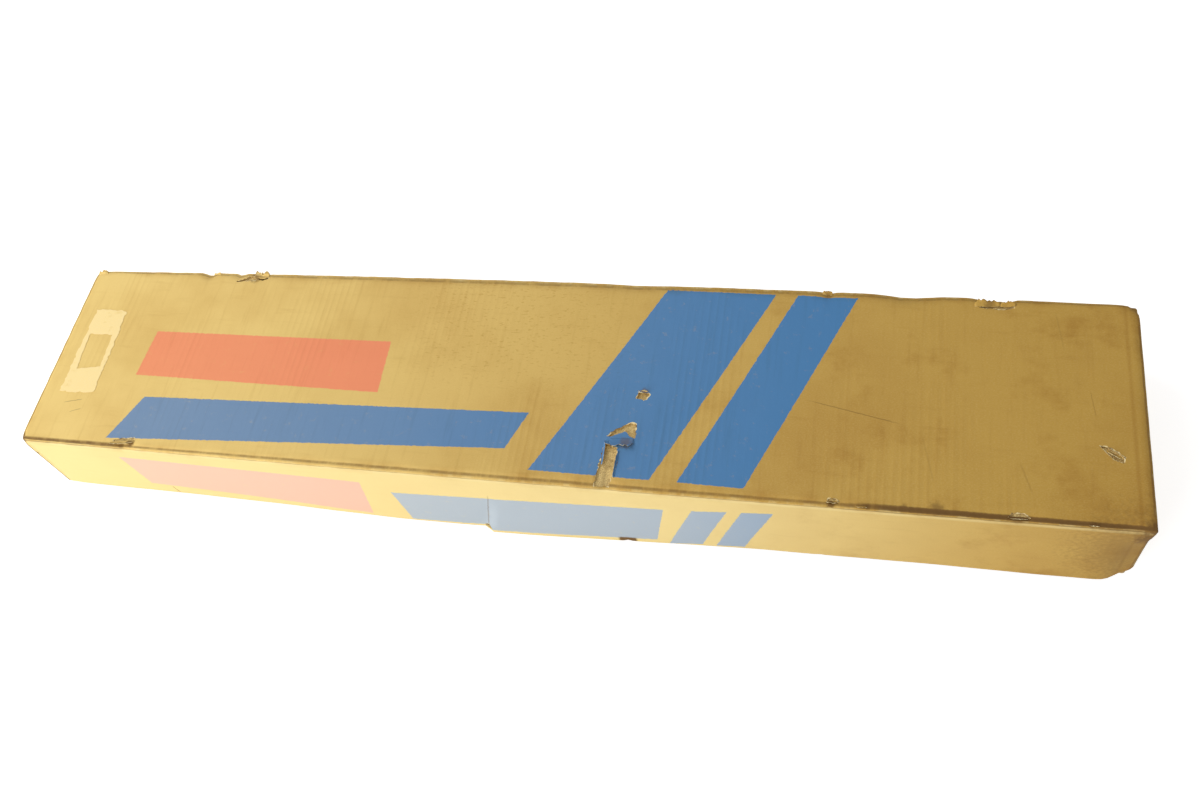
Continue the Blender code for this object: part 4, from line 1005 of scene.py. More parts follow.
FLAPS = (  # hinge start and end on the lid's top, length, curl in degrees, lift at the end, seed
    ((0.0930, -0.0665), (0.1170, -0.0640), 0.0180, 60, 0.0014, 3),
    ((0.0900, -0.0690), (0.1010, -0.0735), 0.0100, 120, 0.0010, 4),
    ((0.0880, -0.0700), (0.0890, -0.0960), -0.0040, 110, 0.0004, 19),
    ((0.1050, -0.0800), (0.1040, -0.1100), 0.0035, 120, 0.0004, 20),
    ((0.1140, -0.0095), (0.1240, -0.0105), 0.0070, 135, 0.0004, 11),
    ((-0.3620, 0.1140), (-0.3440, 0.1165), -0.0100, 60, 0.0010, 5),
    ((-0.3550, 0.1170), (-0.3450, 0.1172), -0.0080, 120, 0.0008, 12),
    ((-0.4180, 0.1165), (-0.4080, 0.1168), -0.0040, 75, 0.0004, 13),
    ((0.2860, 0.1168), (0.2960, 0.1168), -0.0065, 85, 0.0006, 6),
    ((0.4320, 0.1095), (0.4560, 0.1115), -0.0110, 50, 0.0012, 7),
    ((0.4560, 0.1105), (0.4700, 0.1120), -0.0080, 110, 0.0008, 8),
    ((-0.4620, -0.1135), (-0.4330, -0.1095), 0.0080, 75, 0.0008, 9),
    ((0.3040, -0.1150), (0.3140, -0.1150), 0.0055, 110, 0.0005, 14),
    ((0.3300, -0.1165), (0.3400, -0.1165), 0.0045, 80, 0.0004, 15),
    ((0.4600, -0.1155), (0.4760, -0.1155), 0.0055, 90, 0.0005, 16),
    ((0.5250, -0.1165), (0.5330, -0.1165), 0.0045, 100, 0.0004, 17),
    ((-0.5760, 0.1120), (-0.5640, 0.1150), -0.0070, 80, 0.0006, 18),
    ((0.5430, -0.0420), (0.5550, -0.0490), 0.0060, 95, 0.0006, 10),
)


def torn_flaps(finishes):
    """Torn tongues of the outer liner that stand up from the lid's top."""
    rows, columns, thick = 9, 13, 0.00035
    points, faces, flat = [], [], []
    for start, end, length, curl, lift, seed in FLAPS:
        rng = random.Random(seed)
        a, b = Vector((*start, 0)), Vector((*end, 0))
        along = (b - a).normalized()
        ahead = Vector((along.y, -along.x, 0)) * (1 if length > 0 else -1)
        reach, base = abs(length), len(points)
        ends = [rng.uniform(0.65, 1.0) * min(1.0, 0.5 + 3 * min(c, columns - 1 - c) / columns)
                for c in range(columns)]
        hinge = on_lid([a.lerp(b, c / (columns - 1)) + Vector((0, 0, LID_HIGH.z)) for c in range(columns)])
        for r in range(rows):
            for c in range(columns):
                t = r / (rows - 1) * ends[c]
                angle = math.radians(curl) * t * (0.8 + 0.4 * noise.noise(Vector((c * 0.35, seed, 0))))
                radius = reach / max(math.radians(curl), 0.2)
                over, rise = radius * math.sin(angle), radius * (1 - math.cos(angle))
                crumple = 0.0014 * noise.noise(Vector((c * 0.45, r * 0.5, seed * 3.1))) * t
                p = Vector(hinge[c]) + ahead * over + Vector((0, 0, rise + lift * t + crumple + 0.0003))
                points.append(p)
                flat.append((p.x, p.y))
        for r in range(rows - 1):
            for c in range(columns - 1):
                n = base + r * columns + c
                quad = (n, n + 1, n + columns + 1, n + columns)
                faces.append(quad if length < 0 else quad[::-1])
    piece = mesh_piece("torn_flaps", points, faces, [finishes["board_outside"], finishes["torn_fringe"]])
    layer = piece.data.uv_layers.new(name="flat_sheet")
    for loop in piece.data.loops:
        layer.data[loop.index].uv = flat[loop.vertex_index]
    solid = piece.modifiers.new("thickness", "SOLIDIFY")
    solid.thickness, solid.offset, solid.material_offset, solid.material_offset_rim = thick, -1.0, 1, 1
    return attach(converted(piece, "torn_flaps"), "carton_lid")


LABEL_EDGES = (  # outline in metres, how ragged, seed: the outer edge, then the hole
    ([(-0.555, 0.060), (-0.537, 0.062), (-0.514, 0.060), (-0.512, 0.010), (-0.511, -0.053), (-0.556, -0.054),
      (-0.556, -0.010)], 0.0012, 21),
    ([(-0.5505, 0.026), (-0.520, 0.026), (-0.517, -0.018), (-0.547, -0.023)], 0.0006, 22),
)


def label_remains(finishes):
    """What is left of a paper label, as a thin ragged frame near the lid's left end."""
    curve = bpy.data.curves.new("label_remains", "CURVE")
    curve.dimensions, curve.fill_mode, curve.extrude = "2D", "BOTH", 0.00008
    for outline, jitter, seed in LABEL_EDGES:
        edge = ragged(outline, 0.0035, jitter, seed)
        spline = curve.splines.new("POLY")
        spline.points.add(len(edge) - 1)
        for point, (x, y) in zip(spline.points, edge):
            point.co = (x, y, 0, 1)
        spline.use_cyclic_u = True
    label = converted(link(bpy.data.objects.new("label_remains", curve)), "label_remains")
    mend(label.data, WELD, triangles=True)
    raised = [v.co + Vector((0, 0, LID_HIGH.z + 0.00025)) for v in label.data.vertices]
    label.data.vertices.foreach_set("co", on_lid(raised).astype(np.float32).ravel())
    label.data.materials.clear()
    label.data.materials.append(finishes["old_label"])
    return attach(label, "carton_lid")


def flute_ribbon(name, ring, up, height, pitch, body, material):
    """The wavy middle sheet that shows in a rim, as a ribbon that follows the edge."""
    mesh = bpy.data.meshes.new(name)
    count = len(ring)
    mesh.from_pydata([tuple(p) for p in ring], [(k, (k + 1) % count) for k in range(count)], [])
    tree = GeometryTree(name, [
        ("Pitch", "NodeSocketFloat", pitch), ("Swing", "NodeSocketFloat", BOARD / 2 - 2 * LINER),
        ("Height", "NodeSocketFloat", up * height), ("Material", "NodeSocketMaterial", material),
    ])
    curve = tree.add("GeometryNodeMeshToCurve", {0: tree.given.outputs[0]})
    step = tree.math("DIVIDE", tree.given.outputs["Pitch"], 8.0)
    curve = tree.add("GeometryNodeResampleCurve", {"Curve": curve, "Length": step}, mode="LENGTH")
    along = tree.add("GeometryNodeSplineParameter", output=1)
    turns = tree.math("DIVIDE", along, tree.given.outputs["Pitch"])
    swing = tree.times(tree.math("SINE", tree.times(turns, 2 * math.pi)), tree.given.outputs["Swing"])
    tangent = tree.add("GeometryNodeInputTangent")
    side = tree.vector("CROSS_PRODUCT", tangent, (0, 0, 1))
    offset = tree.add("ShaderNodeVectorMath", {0: side, "Scale": swing}, operation="SCALE")
    curve = tree.add("GeometryNodeSetPosition", {"Geometry": curve, "Offset": offset})
    wire = tree.add("GeometryNodeCurveToMesh", {"Curve": curve})
    rise = tree.add("ShaderNodeCombineXYZ", {2: tree.given.outputs["Height"]})
    sheet = tree.add("GeometryNodeExtrudeMesh", {"Mesh": wire, "Offset": rise}, mode="EDGES")
    tree.close(sheet)
    piece = tree.grow(name, mesh, body, "kraft_board")
    solid = piece.modifiers.new("thickness", "SOLIDIFY")
    solid.thickness, solid.offset = 0.0003, 0.0
    return placed(converted(piece, name), body, "kraft_board")


def staple_unit():
    """A flat staple wire seen from outside: crown along X, legs into the board along -Z."""
    def make(bm):
        half, wide, thick = 0.0060, 0.0011, 0.0005
        add_block(bm, (-half, -wide, 0), (half, wide, thick), 0.0002)
        for side in (-1, 1):
            add_block(bm, (side * half - 0.0004, -wide, -0.002), (side * half + 0.0004, wide, thick), 0.0002)
    return bmesh_unit("staple", make)


STAPLE_HEIGHTS = (0.030, 0.058, 0.084)
STAPLE_INSET = 0.018


def staples(finishes):
    """Flat staples that hold the lid's corner tabs, on both end skirts."""
    points, turns = [], []
    rng = random.Random(12)
    for side_x in (-1, 1):
        for side_y in (-1, 1):
            for height in STAPLE_HEIGHTS:
                place = Vector((side_x * LID_HIGH.x, side_y * (LID_HIGH.y - STAPLE_INSET), height))
                shift, _ = lid_wear(np.array([tuple(place)]))
                points.append(place + Vector(shift[0]))
                turns.append((math.pi / 2, rng.uniform(-0.12, 0.12), side_x * math.pi / 2))
    set_out("staples", staple_unit(), (points, turns), "carton_lid", finishes, "bright_steel")


def build_lid(settings, finishes):
    sheet = BoxSheet(LID_HIGH.x, LID_HIGH.y, LID_LOW.z, LID_HIGH.z, settings.board_step, settings.fold_radius)
    materials = [finishes["board_outside"], finishes["board_inside"], finishes["board_raw"]]
    lid, near, far = sheet.build("lid_board", lid_wear, materials, settings.rim_depth)
    lid = tear_lid(lid, finishes, settings.flute_pitch)
    smooth_below(lid.data, BOARD_CREASE_ANGLE)
    placed(lid, "carton_lid", "kraft_board", "carton_lid")
    middle = (near + far) / 2 + np.array((0, 0, FLUTES_INSIDE))
    flute_ribbon("lid_flutes", middle, 1, settings.rim_depth - 0.001, settings.flute_pitch, "carton_lid",
                 finishes["board_raw"])


def build_tray(settings, finishes):
    sheet = BoxSheet(TRAY_HIGH.x, TRAY_HIGH.y, TRAY_HIGH.z, TRAY_LOW.z, settings.board_step, settings.fold_radius)
    materials = [finishes["board_inside"], finishes["board_inside"], finishes["board_raw"]]
    tray, near, far = sheet.build("tray_board", tray_wear, materials, settings.rim_depth)
    smooth_below(tray.data, BOARD_CREASE_ANGLE)
    placed(tray, "carton_tray", "kraft_board", "carton_tray")
    middle = (near + far) / 2 - np.array((0, 0, FLUTES_INSIDE))
    flute_ribbon("tray_flutes", middle, -1, settings.rim_depth - 0.001, settings.flute_pitch, "carton_tray",
                 finishes["board_raw"])


# ---------------------------------------------------------------- fine pieces of the machine

NEEDLE_COUNT = 200
NEEDLE_PITCH = 0.0045


def add_prism(bm, outline, low, high, shrink=1.0):
    """An outline extruded from low to high, its top drawn in towards the middle."""
    rings = [[bm.verts.new((x * s, y * s, z)) for x, y in outline] for z, s in ((low, 1.0), (high, shrink))]
    bm.faces.new(rings[0][::-1])
    bm.faces.new(rings[1])
    for k in range(len(outline)):
        n = (k + 1) % len(outline)
        bm.faces.new((rings[0][k], rings[0][n], rings[1][n], rings[1][k]))


def add_strip(bm, path, half_wide, half_thick):
    """A square wire bent in the YZ plane through (y, z) points."""
    rings = []
    for k, point in enumerate(path):
        here = Vector(point)
        way = (Vector(path[min(k + 1, len(path) - 1)]) - Vector(path[max(k - 1, 0)])).normalized()
        off = Vector((-way.y, way.x)) * half_thick
        corners = ((-half_wide, here - off), (half_wide, here - off), (half_wide, here + off), (-half_wide, here + off))
        rings.append([bm.verts.new((x, p.x, p.y)) for x, p in corners])
    bm.faces.new(rings[0])
    bm.faces.new(rings[-1][::-1])
    for before, after in zip(rings, rings[1:]):
        for k in range(4):
            bm.faces.new((before[k], after[k], after[(k + 1) % 4], before[(k + 1) % 4]))


def needle_unit():
    """A latch needle along Y: its tip at the origin, its butt standing up near the back."""
    def make(bm):
        add_block(bm, (-0.0006, 0.0090, 0.0), (0.0006, 0.1000, 0.0010))
        add_block(bm, (-0.0006, 0.0945, 0.0008), (0.0006, 0.0985, 0.0034))
        add_strip(bm, [(0.0092, 0.0005), (0.0014, 0.0004), (0.0004, 0.0008), (0.0004, 0.0014), (0.0013, 0.0017),
                       (0.0027, 0.0015)], 0.00022, 0.0002)
        add_strip(bm, [(0.0085, 0.0009), (0.0110, 0.0010), (0.0150, 0.0010)], 0.0002, 0.00015)
    return bmesh_unit("needle", make)


def needles(made):
    first = -(NEEDLE_COUNT - 1) / 2 * NEEDLE_PITCH
    low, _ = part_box("needle_row")
    points = [(first + k * NEEDLE_PITCH, low.y, low.z) for k in range(NEEDLE_COUNT)]
    piece = set_out("latch_needles", needle_unit(), (points,), "needles", made, "bright_steel")
    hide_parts("needle_row")


def bed_ribs(made):
    """The ribs between the needles and the pegs in front of them."""
    bed_low, bed_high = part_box("needle_bed")
    rail_low, rail_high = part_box("gate_peg_rail")
    xs = [(k - NEEDLE_COUNT / 2) * NEEDLE_PITCH for k in range(NEEDLE_COUNT + 1)]
    deep = bed_high.y - bed_low.y
    rib = block_unit((-0.0011, 0.0015, 0.0), (0.0011, deep - 0.0015, 0.0010), 0.0002)
    points = [(x, bed_low.y, bed_high.z) for x in xs]
    set_out("bed_ribs", rib, (points,), "machine", made, "zinc_steel")
    peg = block_unit((-0.0004, -0.0009, -0.0010), (0.0004, 0.0009, 0.0030), 0.0002)
    points = [(x, (rail_low.y + rail_high.y) / 2, rail_high.z) for x in xs]
    set_out("gate_pegs", peg, (points,), "machine", made, "bright_steel")


# ---------------------------------------------------------------- screws and grips

def screw_unit(radius, rise):
    """A slotted screw head seated at z = 0."""
    def make(bm):
        add_turned(bm, [(0, -0.0004), (radius, -0.0004), (radius, rise * 0.5), (0, rise * 0.5)], 16)
        for side in (1, -1):
            arc = [math.radians(12 + 156 * k / 8) for k in range(9)]
            half = [(radius * 0.99 * math.cos(a), side * radius * 0.99 * math.sin(a)) for a in arc]
            add_prism(bm, half, rise * 0.4, rise, 0.86)
    return bmesh_unit("screw", make)


def screws(made):
    along = [-0.45 + 0.09 * k for k in range(11)]
    caps = [(x, y, 0) for x in (-0.534, -0.487, 0.487, 0.534) for y in (-0.054, 0.038)]
    rows = (  # name, body, node whose top carries them, radius, rise, places in X and Y with a lift
        ("retainer_screws", "machine", "needle_retainer", 0.0020, 0.0009, [(x, -0.040, 0) for x in along]),
        ("rail_screws", "machine", "needle_bed", 0.0016, 0.0008, [(x, 0.0503, -0.0136) for x in along]),
        ("cap_screws", "machine", "end_cap_left", 0.0028, 0.0013, caps),
        ("reader_screws", "machine", "card_housing", 0.0025, 0.0012, [(-0.0815, 0.0755, 0), (0.0815, 0.0755, 0)]),
        ("counter_screws", "machine", "counter_housing", 0.0016, 0.0008,
         [(0.1655, 0.0645, 0), (0.1655, 0.0795, 0)]),
        ("tension_screws", "machine", "needle_bed", 0.0020, 0.0010, [(0.207, 0.073, -0.0116), (0.363, 0.073, -0.0116)]),
        ("housing_screws", "carriage", "carriage_housing", 0.0028, 0.0013,
         [(x, y, 0) for x in (-0.082, 0.082) for y in (-0.035, 0.038)]),
        ("arm_screws", "carriage", "sinker_arm", 0.0022, 0.0011, [(-0.022, -0.064, 0), (0.022, -0.064, 0)]),
    )
    rng = random.Random(31)
    for name, body, node, radius, rise, places in rows:
        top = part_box(node)[1].z
        points = [(x, y, top + lift) for x, y, lift in places]
        turns = [(0, 0, rng.uniform(0, math.pi)) for _ in points]
        set_out(name, screw_unit(radius, rise), (points, turns), body, made, "bright_steel")
    points, turns = [], []
    for node in ("strap_cap_left", "strap_cap_right"):
        low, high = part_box(node)
        points.append(((low.x + high.x) / 2, low.y, (low.z + high.z) / 2))
        turns.append((math.pi / 2, rng.uniform(0, math.pi), 0))
    unit = screw_unit(0.0030, 0.0011)
    set_out("strap_screws", unit, (points, turns), "case_cover", made, "bright_steel", "zinc_steel")


def ridges(name, body, slot, centre, axis, radius, low, high, count, made):
    """Even ridges round a knob; axis is 0 for X or 2 for Z, and low and high lie along it."""
    wide, deep = 0.0005, 0.0004
    unit = block_unit((-wide, -0.0004, 0), (wide, deep, high - low), deep * 0.45)
    points, turns = [], []
    for k in range(count):
        angle = 2 * math.pi * k / count
        if axis == 2:
            out, way = Vector((math.cos(angle), math.sin(angle), 0)), Vector((0, 0, 1))
        else:
            out, way = Vector((0, math.cos(angle), math.sin(angle))), Vector((1, 0, 0))
        start = Vector(centre) + out * radius
        start[axis] = low
        points.append(start)
        turns.append(tuple(Matrix((out.cross(way), out, way)).transposed().to_euler()))
    set_out(name, unit, (points, turns), body, made, slot)


def grips(made):
    rows = [  # name, node, body, slot, axis, radius, lower and upper end below the top, count
        ("feed_knob_ridges", "card_feed_knob", "card_roller", "blue_plastic", 0, 0.0120, 0.0108, 0.0012, 28),
        ("reset_knob_ridges", "counter_reset_knob", "counter_units", "cream_plastic", 0, 0.0090, 0.0100, 0.0012, 22),
        ("dial_ridges", "stitch_dial", "stitch_dial", "blue_plastic", 2, 0.0220, 0.0116, 0.0096, 60),
        ("cam_knob_ridges", "cam_knob", "cam_knob", "dark_plastic", 2, 0.0100, 0.0092, 0.0012, 24),
    ]
    for kind, axis, radius, low, high, count in (
        ("thumb", 2, 0.0055, 0.0098, 0.0013, 18), ("clamp", 0, 0.0085, 0.0092, 0.0008, 16),
    ):
        for side in ("left", "right"):
            screw = f"{kind}_screw_{side}"
            rows.append((f"{kind}_ridges_{side}", screw, screw, "bright_steel", axis, radius, low, high, count))
    for name, node, body, slot, axis, radius, low, high, count in rows:
        box_low, box_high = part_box(node)
        centre = (box_low + box_high) / 2
        top = box_high[axis]
        ridges(name, body, slot, centre, axis, radius, top - low, top - high, count, made)
    low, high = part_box("carriage_handle")
    centre = Vector((0, low.y + 0.0045, (low.z + high.z) / 2))
    radius = 0.0045
    profile = [(0, -0.0013), (radius - 0.0002, -0.0013), (radius + 0.0006, -0.0006), (radius + 0.0006, 0.0006),
               (radius - 0.0002, 0.0013), (0, 0.0013)]
    unit = bmesh_unit("grip_ring", lambda bm: add_turned(bm, profile, 20, Matrix.Rotation(math.pi / 2, 4, "Y")))
    points = [(0.0045 * k, centre.y, centre.z) for k in range(-13, 14)]
    set_out("handle_grip", unit, (points,), "carriage_handle", made, "dark_plastic")


BRISTLES, BRISTLE_LAYERS = 34, 5


def brushes(made):
    """Bristle wheels under the sinker arm."""
    radius, hub = 0.0120, 0.0060

    def bristle(bm):
        add_turned(bm, [(0, 0.0), (0.00042, 0.0), (0.00016, radius - hub + 0.0005), (0, radius - hub + 0.0005)], 4)

    for node in ("brush_wheel_left", "brush_wheel_right"):
        low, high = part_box(node)
        centre = (low + high) / 2
        top = high.z - 0.0053
        rng = random.Random(51)
        points, turns = [], []
        for layer in range(BRISTLE_LAYERS):
            for k in range(BRISTLES):
                angle = 2 * math.pi * (k + 0.5 * (layer % 2)) / BRISTLES + rng.uniform(-0.03, 0.03)
                tilt = math.pi / 2 + rng.uniform(-0.03, 0.05)
                points.append((centre.x + (hub - 0.0005) * math.cos(angle), centre.y + (hub - 0.0005) * math.sin(angle),
                               low.z + 0.0008 + layer * 0.0011))
                turns.append((0, tilt, angle))
        piece = set_out(node + "_bristles", bmesh_unit("bristle", bristle), (points, turns), node, made, "nylon_brush")
        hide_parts(node)
        profile = [(0, low.z + 0.0002), (hub - 0.0008, low.z + 0.0002), (hub, low.z + 0.0010), (hub, top - 0.0008),
                   (hub - 0.0008, top), (0.0020, top), (0.0020, high.z - 0.0004), (0.0016, high.z), (0, high.z)]
        middle = Matrix.Translation((centre.x, centre.y, 0))
        mesh = bmesh_unit(node + "_hub", lambda bm: add_turned(bm, profile, 24, middle))
        smooth_below(mesh, CREASE_ANGLE)
        plain_piece(node + "_hub", mesh, [made["grey_plastic"]], node, "nylon_brush")


# ---------------------------------------------------------------- scales

class Figures:
    """Thin solid figures, set in place as one mesh."""

    GLYPHS = {}

    def __init__(self):
        self.points, self.faces = [], []

    @classmethod
    def glyph(cls, figure):
        if figure not in cls.GLYPHS:
            curve = bpy.data.curves.new("figure", "FONT")
            curve.body, curve.size, curve.extrude, curve.resolution_u = figure, 1.0, 0.008, 2
            item = converted(link(bpy.data.objects.new("figure", curve)), "figure")
            mend(item.data, 10 * WELD)
            points = np.array([tuple(v.co) for v in item.data.vertices])
            faces = [list(face.vertices) for face in item.data.polygons]
            bpy.data.objects.remove(item)
            middle = (points.min(axis=0) + points.max(axis=0)) / 2
            cls.GLYPHS[figure] = points - (middle[0], middle[1], 0), faces
        return cls.GLYPHS[figure]

    def add(self, text, size, place, bend=0.0):
        """Text centred at the origin of a matrix; a bend wraps it round a cylinder of that radius about X."""
        for k, figure in enumerate(text):
            points, faces = self.glyph(figure)
            shift = (k - (len(text) - 1) / 2) * 0.66 * size
            flat = points * size + (shift, 0, 0)
            base = len(self.points)
            for x, y, z in flat:
                if bend:
                    y, z = (bend + z) * math.sin(y / bend), (bend + z) * math.cos(y / bend)
                self.points.append(place @ Vector((x, y, z)))
            self.faces += [[base + c for c in face] for face in faces]

    def tick(self, length, wide, place):
        """A bar along the local Y axis."""
        base = len(self.points)
        corners = [(x, y, z) for z in (-0.00003, 0.00003) for x, y in (
            (-wide / 2, 0), (wide / 2, 0), (wide / 2, length), (-wide / 2, length))]
        self.points += [place @ Vector(c) for c in corners]
        sides = [(0, 1, 5, 4), (1, 2, 6, 5), (2, 3, 7, 6), (3, 0, 4, 7), (3, 2, 1, 0), (4, 5, 6, 7)]
        self.faces += [[base + c for c in side] for side in sides]

    def finish(self, name, body, material, slot):
        placed(mesh_piece(name, self.points, self.faces, [material], smooth=False), body, slot)


DIAL_MARKS, DIAL_STEP = 21, 15  # marks, and degrees between them


def scales(made):
    """Needle numbers along the front rail, the dial's numbers and the counter's figures."""
    rail_low, rail_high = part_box("front_rail")
    strip = block_unit((rail_low.x + 0.004, rail_low.y + 0.0004, rail_high.z - 0.0002),
                       (rail_high.x - 0.004, rail_high.y - 0.0004, rail_high.z + 0.00006))
    plain_piece("needle_strip", strip, [made["cream_plastic"]], "machine", "cream_plastic")
    marks = Figures()
    level = rail_high.z + 0.00008
    for k in range(-NEEDLE_COUNT // 2, NEEDLE_COUNT // 2 + 1):
        x = k * NEEDLE_PITCH
        length = 0.0014 if k % 5 else 0.0022
        marks.tick(-length, 0.0003, Matrix.Translation((x, rail_high.y - 0.0005, level)))
        if k and k % 10 == 0:
            marks.add(str(abs(k)), 0.0034, Matrix.Translation((x, rail_low.y + 0.0019, level)))
    marks.finish("needle_numbers", "machine", made["dark_plastic"], "dark_plastic")

    low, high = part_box("stitch_dial")
    centre = Vector(((low.x + high.x) / 2, (low.y + high.y) / 2, high.z - 0.0085))
    marks = Figures()
    for k in range(DIAL_MARKS):
        turn = Matrix.Translation(centre) @ Matrix.Rotation(math.radians(-DIAL_STEP * k), 4, "Z")
        marks.tick(0.0018 if k % 2 else 0.0028, 0.0004, turn @ Matrix.Translation((0, -0.0208, 0)))
        if k % 2 == 0:
            facing = turn @ Matrix.Translation((0, -0.0148, 0))
            marks.add(str(k // 2), 0.0042, facing)
    marks.finish("dial_numbers", "stitch_dial", made["cream_plastic"], "cream_plastic")
    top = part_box("carriage_housing")[1].z
    arrow = bmesh_unit("dial_pointer", lambda bm: add_prism(
        bm, [(-0.0024, -0.0352), (0.0024, -0.0352), (0, -0.0310)], top - 0.0003, top + 0.0004, 0.98))
    plain_piece("dial_pointer", arrow, [made["red_mark"]], "carriage", "cream_plastic")

    for place in ("units", "tens", "hundreds"):
        body = f"counter_{place}"
        low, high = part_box(f"counter_wheel_{place}")
        centre = (low + high) / 2
        marks = Figures()
        radius = (high.z - low.z) / 2
        for k in range(10):
            turn = Matrix.Translation(centre) @ Matrix.Rotation(math.radians(36 * k), 4, "X")
            marks.add(str(k), 0.0056, turn, radius)
        marks.finish(body + "_figures", body, made["cream_plastic"], "dark_plastic")


# ---------------------------------------------------------------- papers, strap and foam

def booklet(made):
    """A stapled booklet: two cover boards, inner sheets and a folded spine."""
    low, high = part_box("instruction_booklet")
    rng = random.Random(61)

    def make(bm):
        sheets, cover = 9, 0.00030
        gap = (high.z - low.z - 2 * cover) / sheets
        for z in (low.z, high.z - cover):
            add_block(bm, (low.x + 0.0006, low.y, z), (high.x, high.y, z + cover), 0.00008)
        add_block(bm, (low.x, low.y, low.z + 0.0002), (low.x + 0.0010, high.y, high.z - 0.0002), 0.0002)
        for k in range(sheets):
            z = low.z + cover + k * gap
            add_block(bm, (low.x + 0.0006, low.y + rng.uniform(0.0004, 0.0009), z + gap * 0.12),
                      (high.x - rng.uniform(0.0006, 0.0022), high.y - rng.uniform(0.0004, 0.0009), z + gap * 0.88))

    mesh = bmesh_unit("booklet", make)
    for face in mesh.polygons:
        flat = abs(face.normal.z) > 0.5
        at_top = face.center.z > high.z - 0.00035 or face.center.z < low.z + 0.00035
        face.material_index = int((flat and at_top) or face.center.x < low.x + 0.0008)
    plain_piece("booklet_sheets", mesh, [made["paper"], made["cover_card"]], "case_cover", "paper",
                "instruction_booklet")
    points = [(low.x + 0.0002, y, (low.z + high.z) / 2) for y in (-0.040, 0.040)]
    places = points, [(0, -math.pi / 2, 0)] * 2, [(0.35, 0.9, 0.35)] * 2
    unit = block_unit((-0.0011, -0.0062, 0), (0.0011, 0.0062, 0.0006), 0.0002)
    set_out("booklet_staples", unit, places, "case_cover", made, "bright_steel")


def card_cell(punched, wide, deep, hole):
    """One cell of a card, with or without its round hole; both kinds share eight border points."""
    border = [(-1, -1), (0, -1), (1, -1), (1, 0), (1, 1), (0, 1), (-1, 1), (-1, 0)]

    def make(bm):
        outer = [bm.verts.new((x * wide / 2, y * deep / 2, 0)) for x, y in border]
        if not punched:
            bm.faces.new(outer)
            return
        inner = []
        for x, y in border:
            way = Vector((x, y)).normalized() * hole
            inner.append(bm.verts.new((way.x, way.y, 0)))
        for k in range(8):
            n = (k + 1) % 8
            bm.faces.new((outer[k], outer[n], inner[n], inner[k]))
    return bmesh_unit("cell", make)


CARD_COLUMNS, CARD_ROWS, CARD_THICK, CARD_HOLE = 60, 32, 0.0004, 0.0016


def card_pack(made):
    """A stack of plastic punch cards; the top one is punched in a plain diamond pattern."""
    low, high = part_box("punch_card_pack")
    columns, rows, thick = CARD_COLUMNS, CARD_ROWS, CARD_THICK
    wide, deep = (high.x - low.x) / columns, (high.y - low.y) / rows
    points, punched = [], []
    for i in range(columns):
        for j in range(rows):
            points.append((low.x + (i + 0.5) * wide, low.y + (j + 0.5) * deep, high.z))
            edge = j in (1, rows - 2) and i % 2 == 0
            inside = 4 <= j < rows - 4 and 3 <= i < columns - 3
            punched.append(edge or (inside and ((i + j) % 8 in (0, 1) or (i - j) % 8 in (0, 1))))
    base = points_mesh("cards", points)
    flag = base.attributes.new("punched", "BOOLEAN", "POINT")
    flag.data.foreach_set("value", punched)
    units = [link(bpy.data.objects.new(f"cell_{kind}", card_cell(kind, wide, deep, CARD_HOLE)))
             for kind in (True, False)]
    tree = GeometryTree("punched_card", [
        ("Punched cell", "NodeSocketObject", units[0]), ("Plain cell", "NodeSocketObject", units[1]),
        ("Weld", "NodeSocketFloat", 0.00005), ("Material", "NodeSocketMaterial", made["card_plastic"]),
    ])
    # punched and plain cells on their own points, welded into one sheet
    chosen = tree.add("GeometryNodeInputNamedAttribute", {"Name": "punched"}, data_type="BOOLEAN")
    other = tree.add("FunctionNodeBooleanMath", {0: chosen}, operation="NOT")
    parts = []
    for label, some in (("Punched cell", chosen), ("Plain cell", other)):
        info = tree.add("GeometryNodeObjectInfo", {"Object": tree.given.outputs[label]}, 4, transform_space="ORIGINAL")
        inputs = {"Points": tree.given.outputs[0], "Selection": some, "Instance": info}
        parts.append(tree.add("GeometryNodeInstanceOnPoints", inputs))
    joined = tree.tree.nodes.new("GeometryNodeJoinGeometry")
    for part in parts:
        tree.tree.links.new(part, joined.inputs[0])
    real = tree.add("GeometryNodeRealizeInstances", {0: joined.outputs[0]})
    tree.close(tree.add("GeometryNodeMergeByDistance", {"Geometry": real, "Distance": tree.given.outputs["Weld"]}))
    top = tree.grow("punched_card", base, "case_cover", "card_plastic")
    for unit in units:
        bpy.data.objects.remove(unit)
    solid = top.modifiers.new("thickness", "SOLIDIFY")
    solid.thickness, solid.offset = thick, -1.0
    placed(converted(top, "punched_card"), "case_cover", "card_plastic", "punch_card_pack")
    rng = random.Random(71)

    def make(bm):
        for k in range(3):
            z = low.z + k * (thick + 0.00008)
            dx, dy = rng.uniform(0, 0.0012), rng.uniform(-0.0006, 0.0006)
            add_block(bm, (low.x + dx, low.y + 0.0007 + dy, z), (high.x - 0.0012 + dx, high.y - 0.0007 + dy, z + thick),
                      0.0001)

    plain_piece("card_stack", bmesh_unit("card_stack", make), [made["card_plastic"]], "case_cover", "card_plastic")


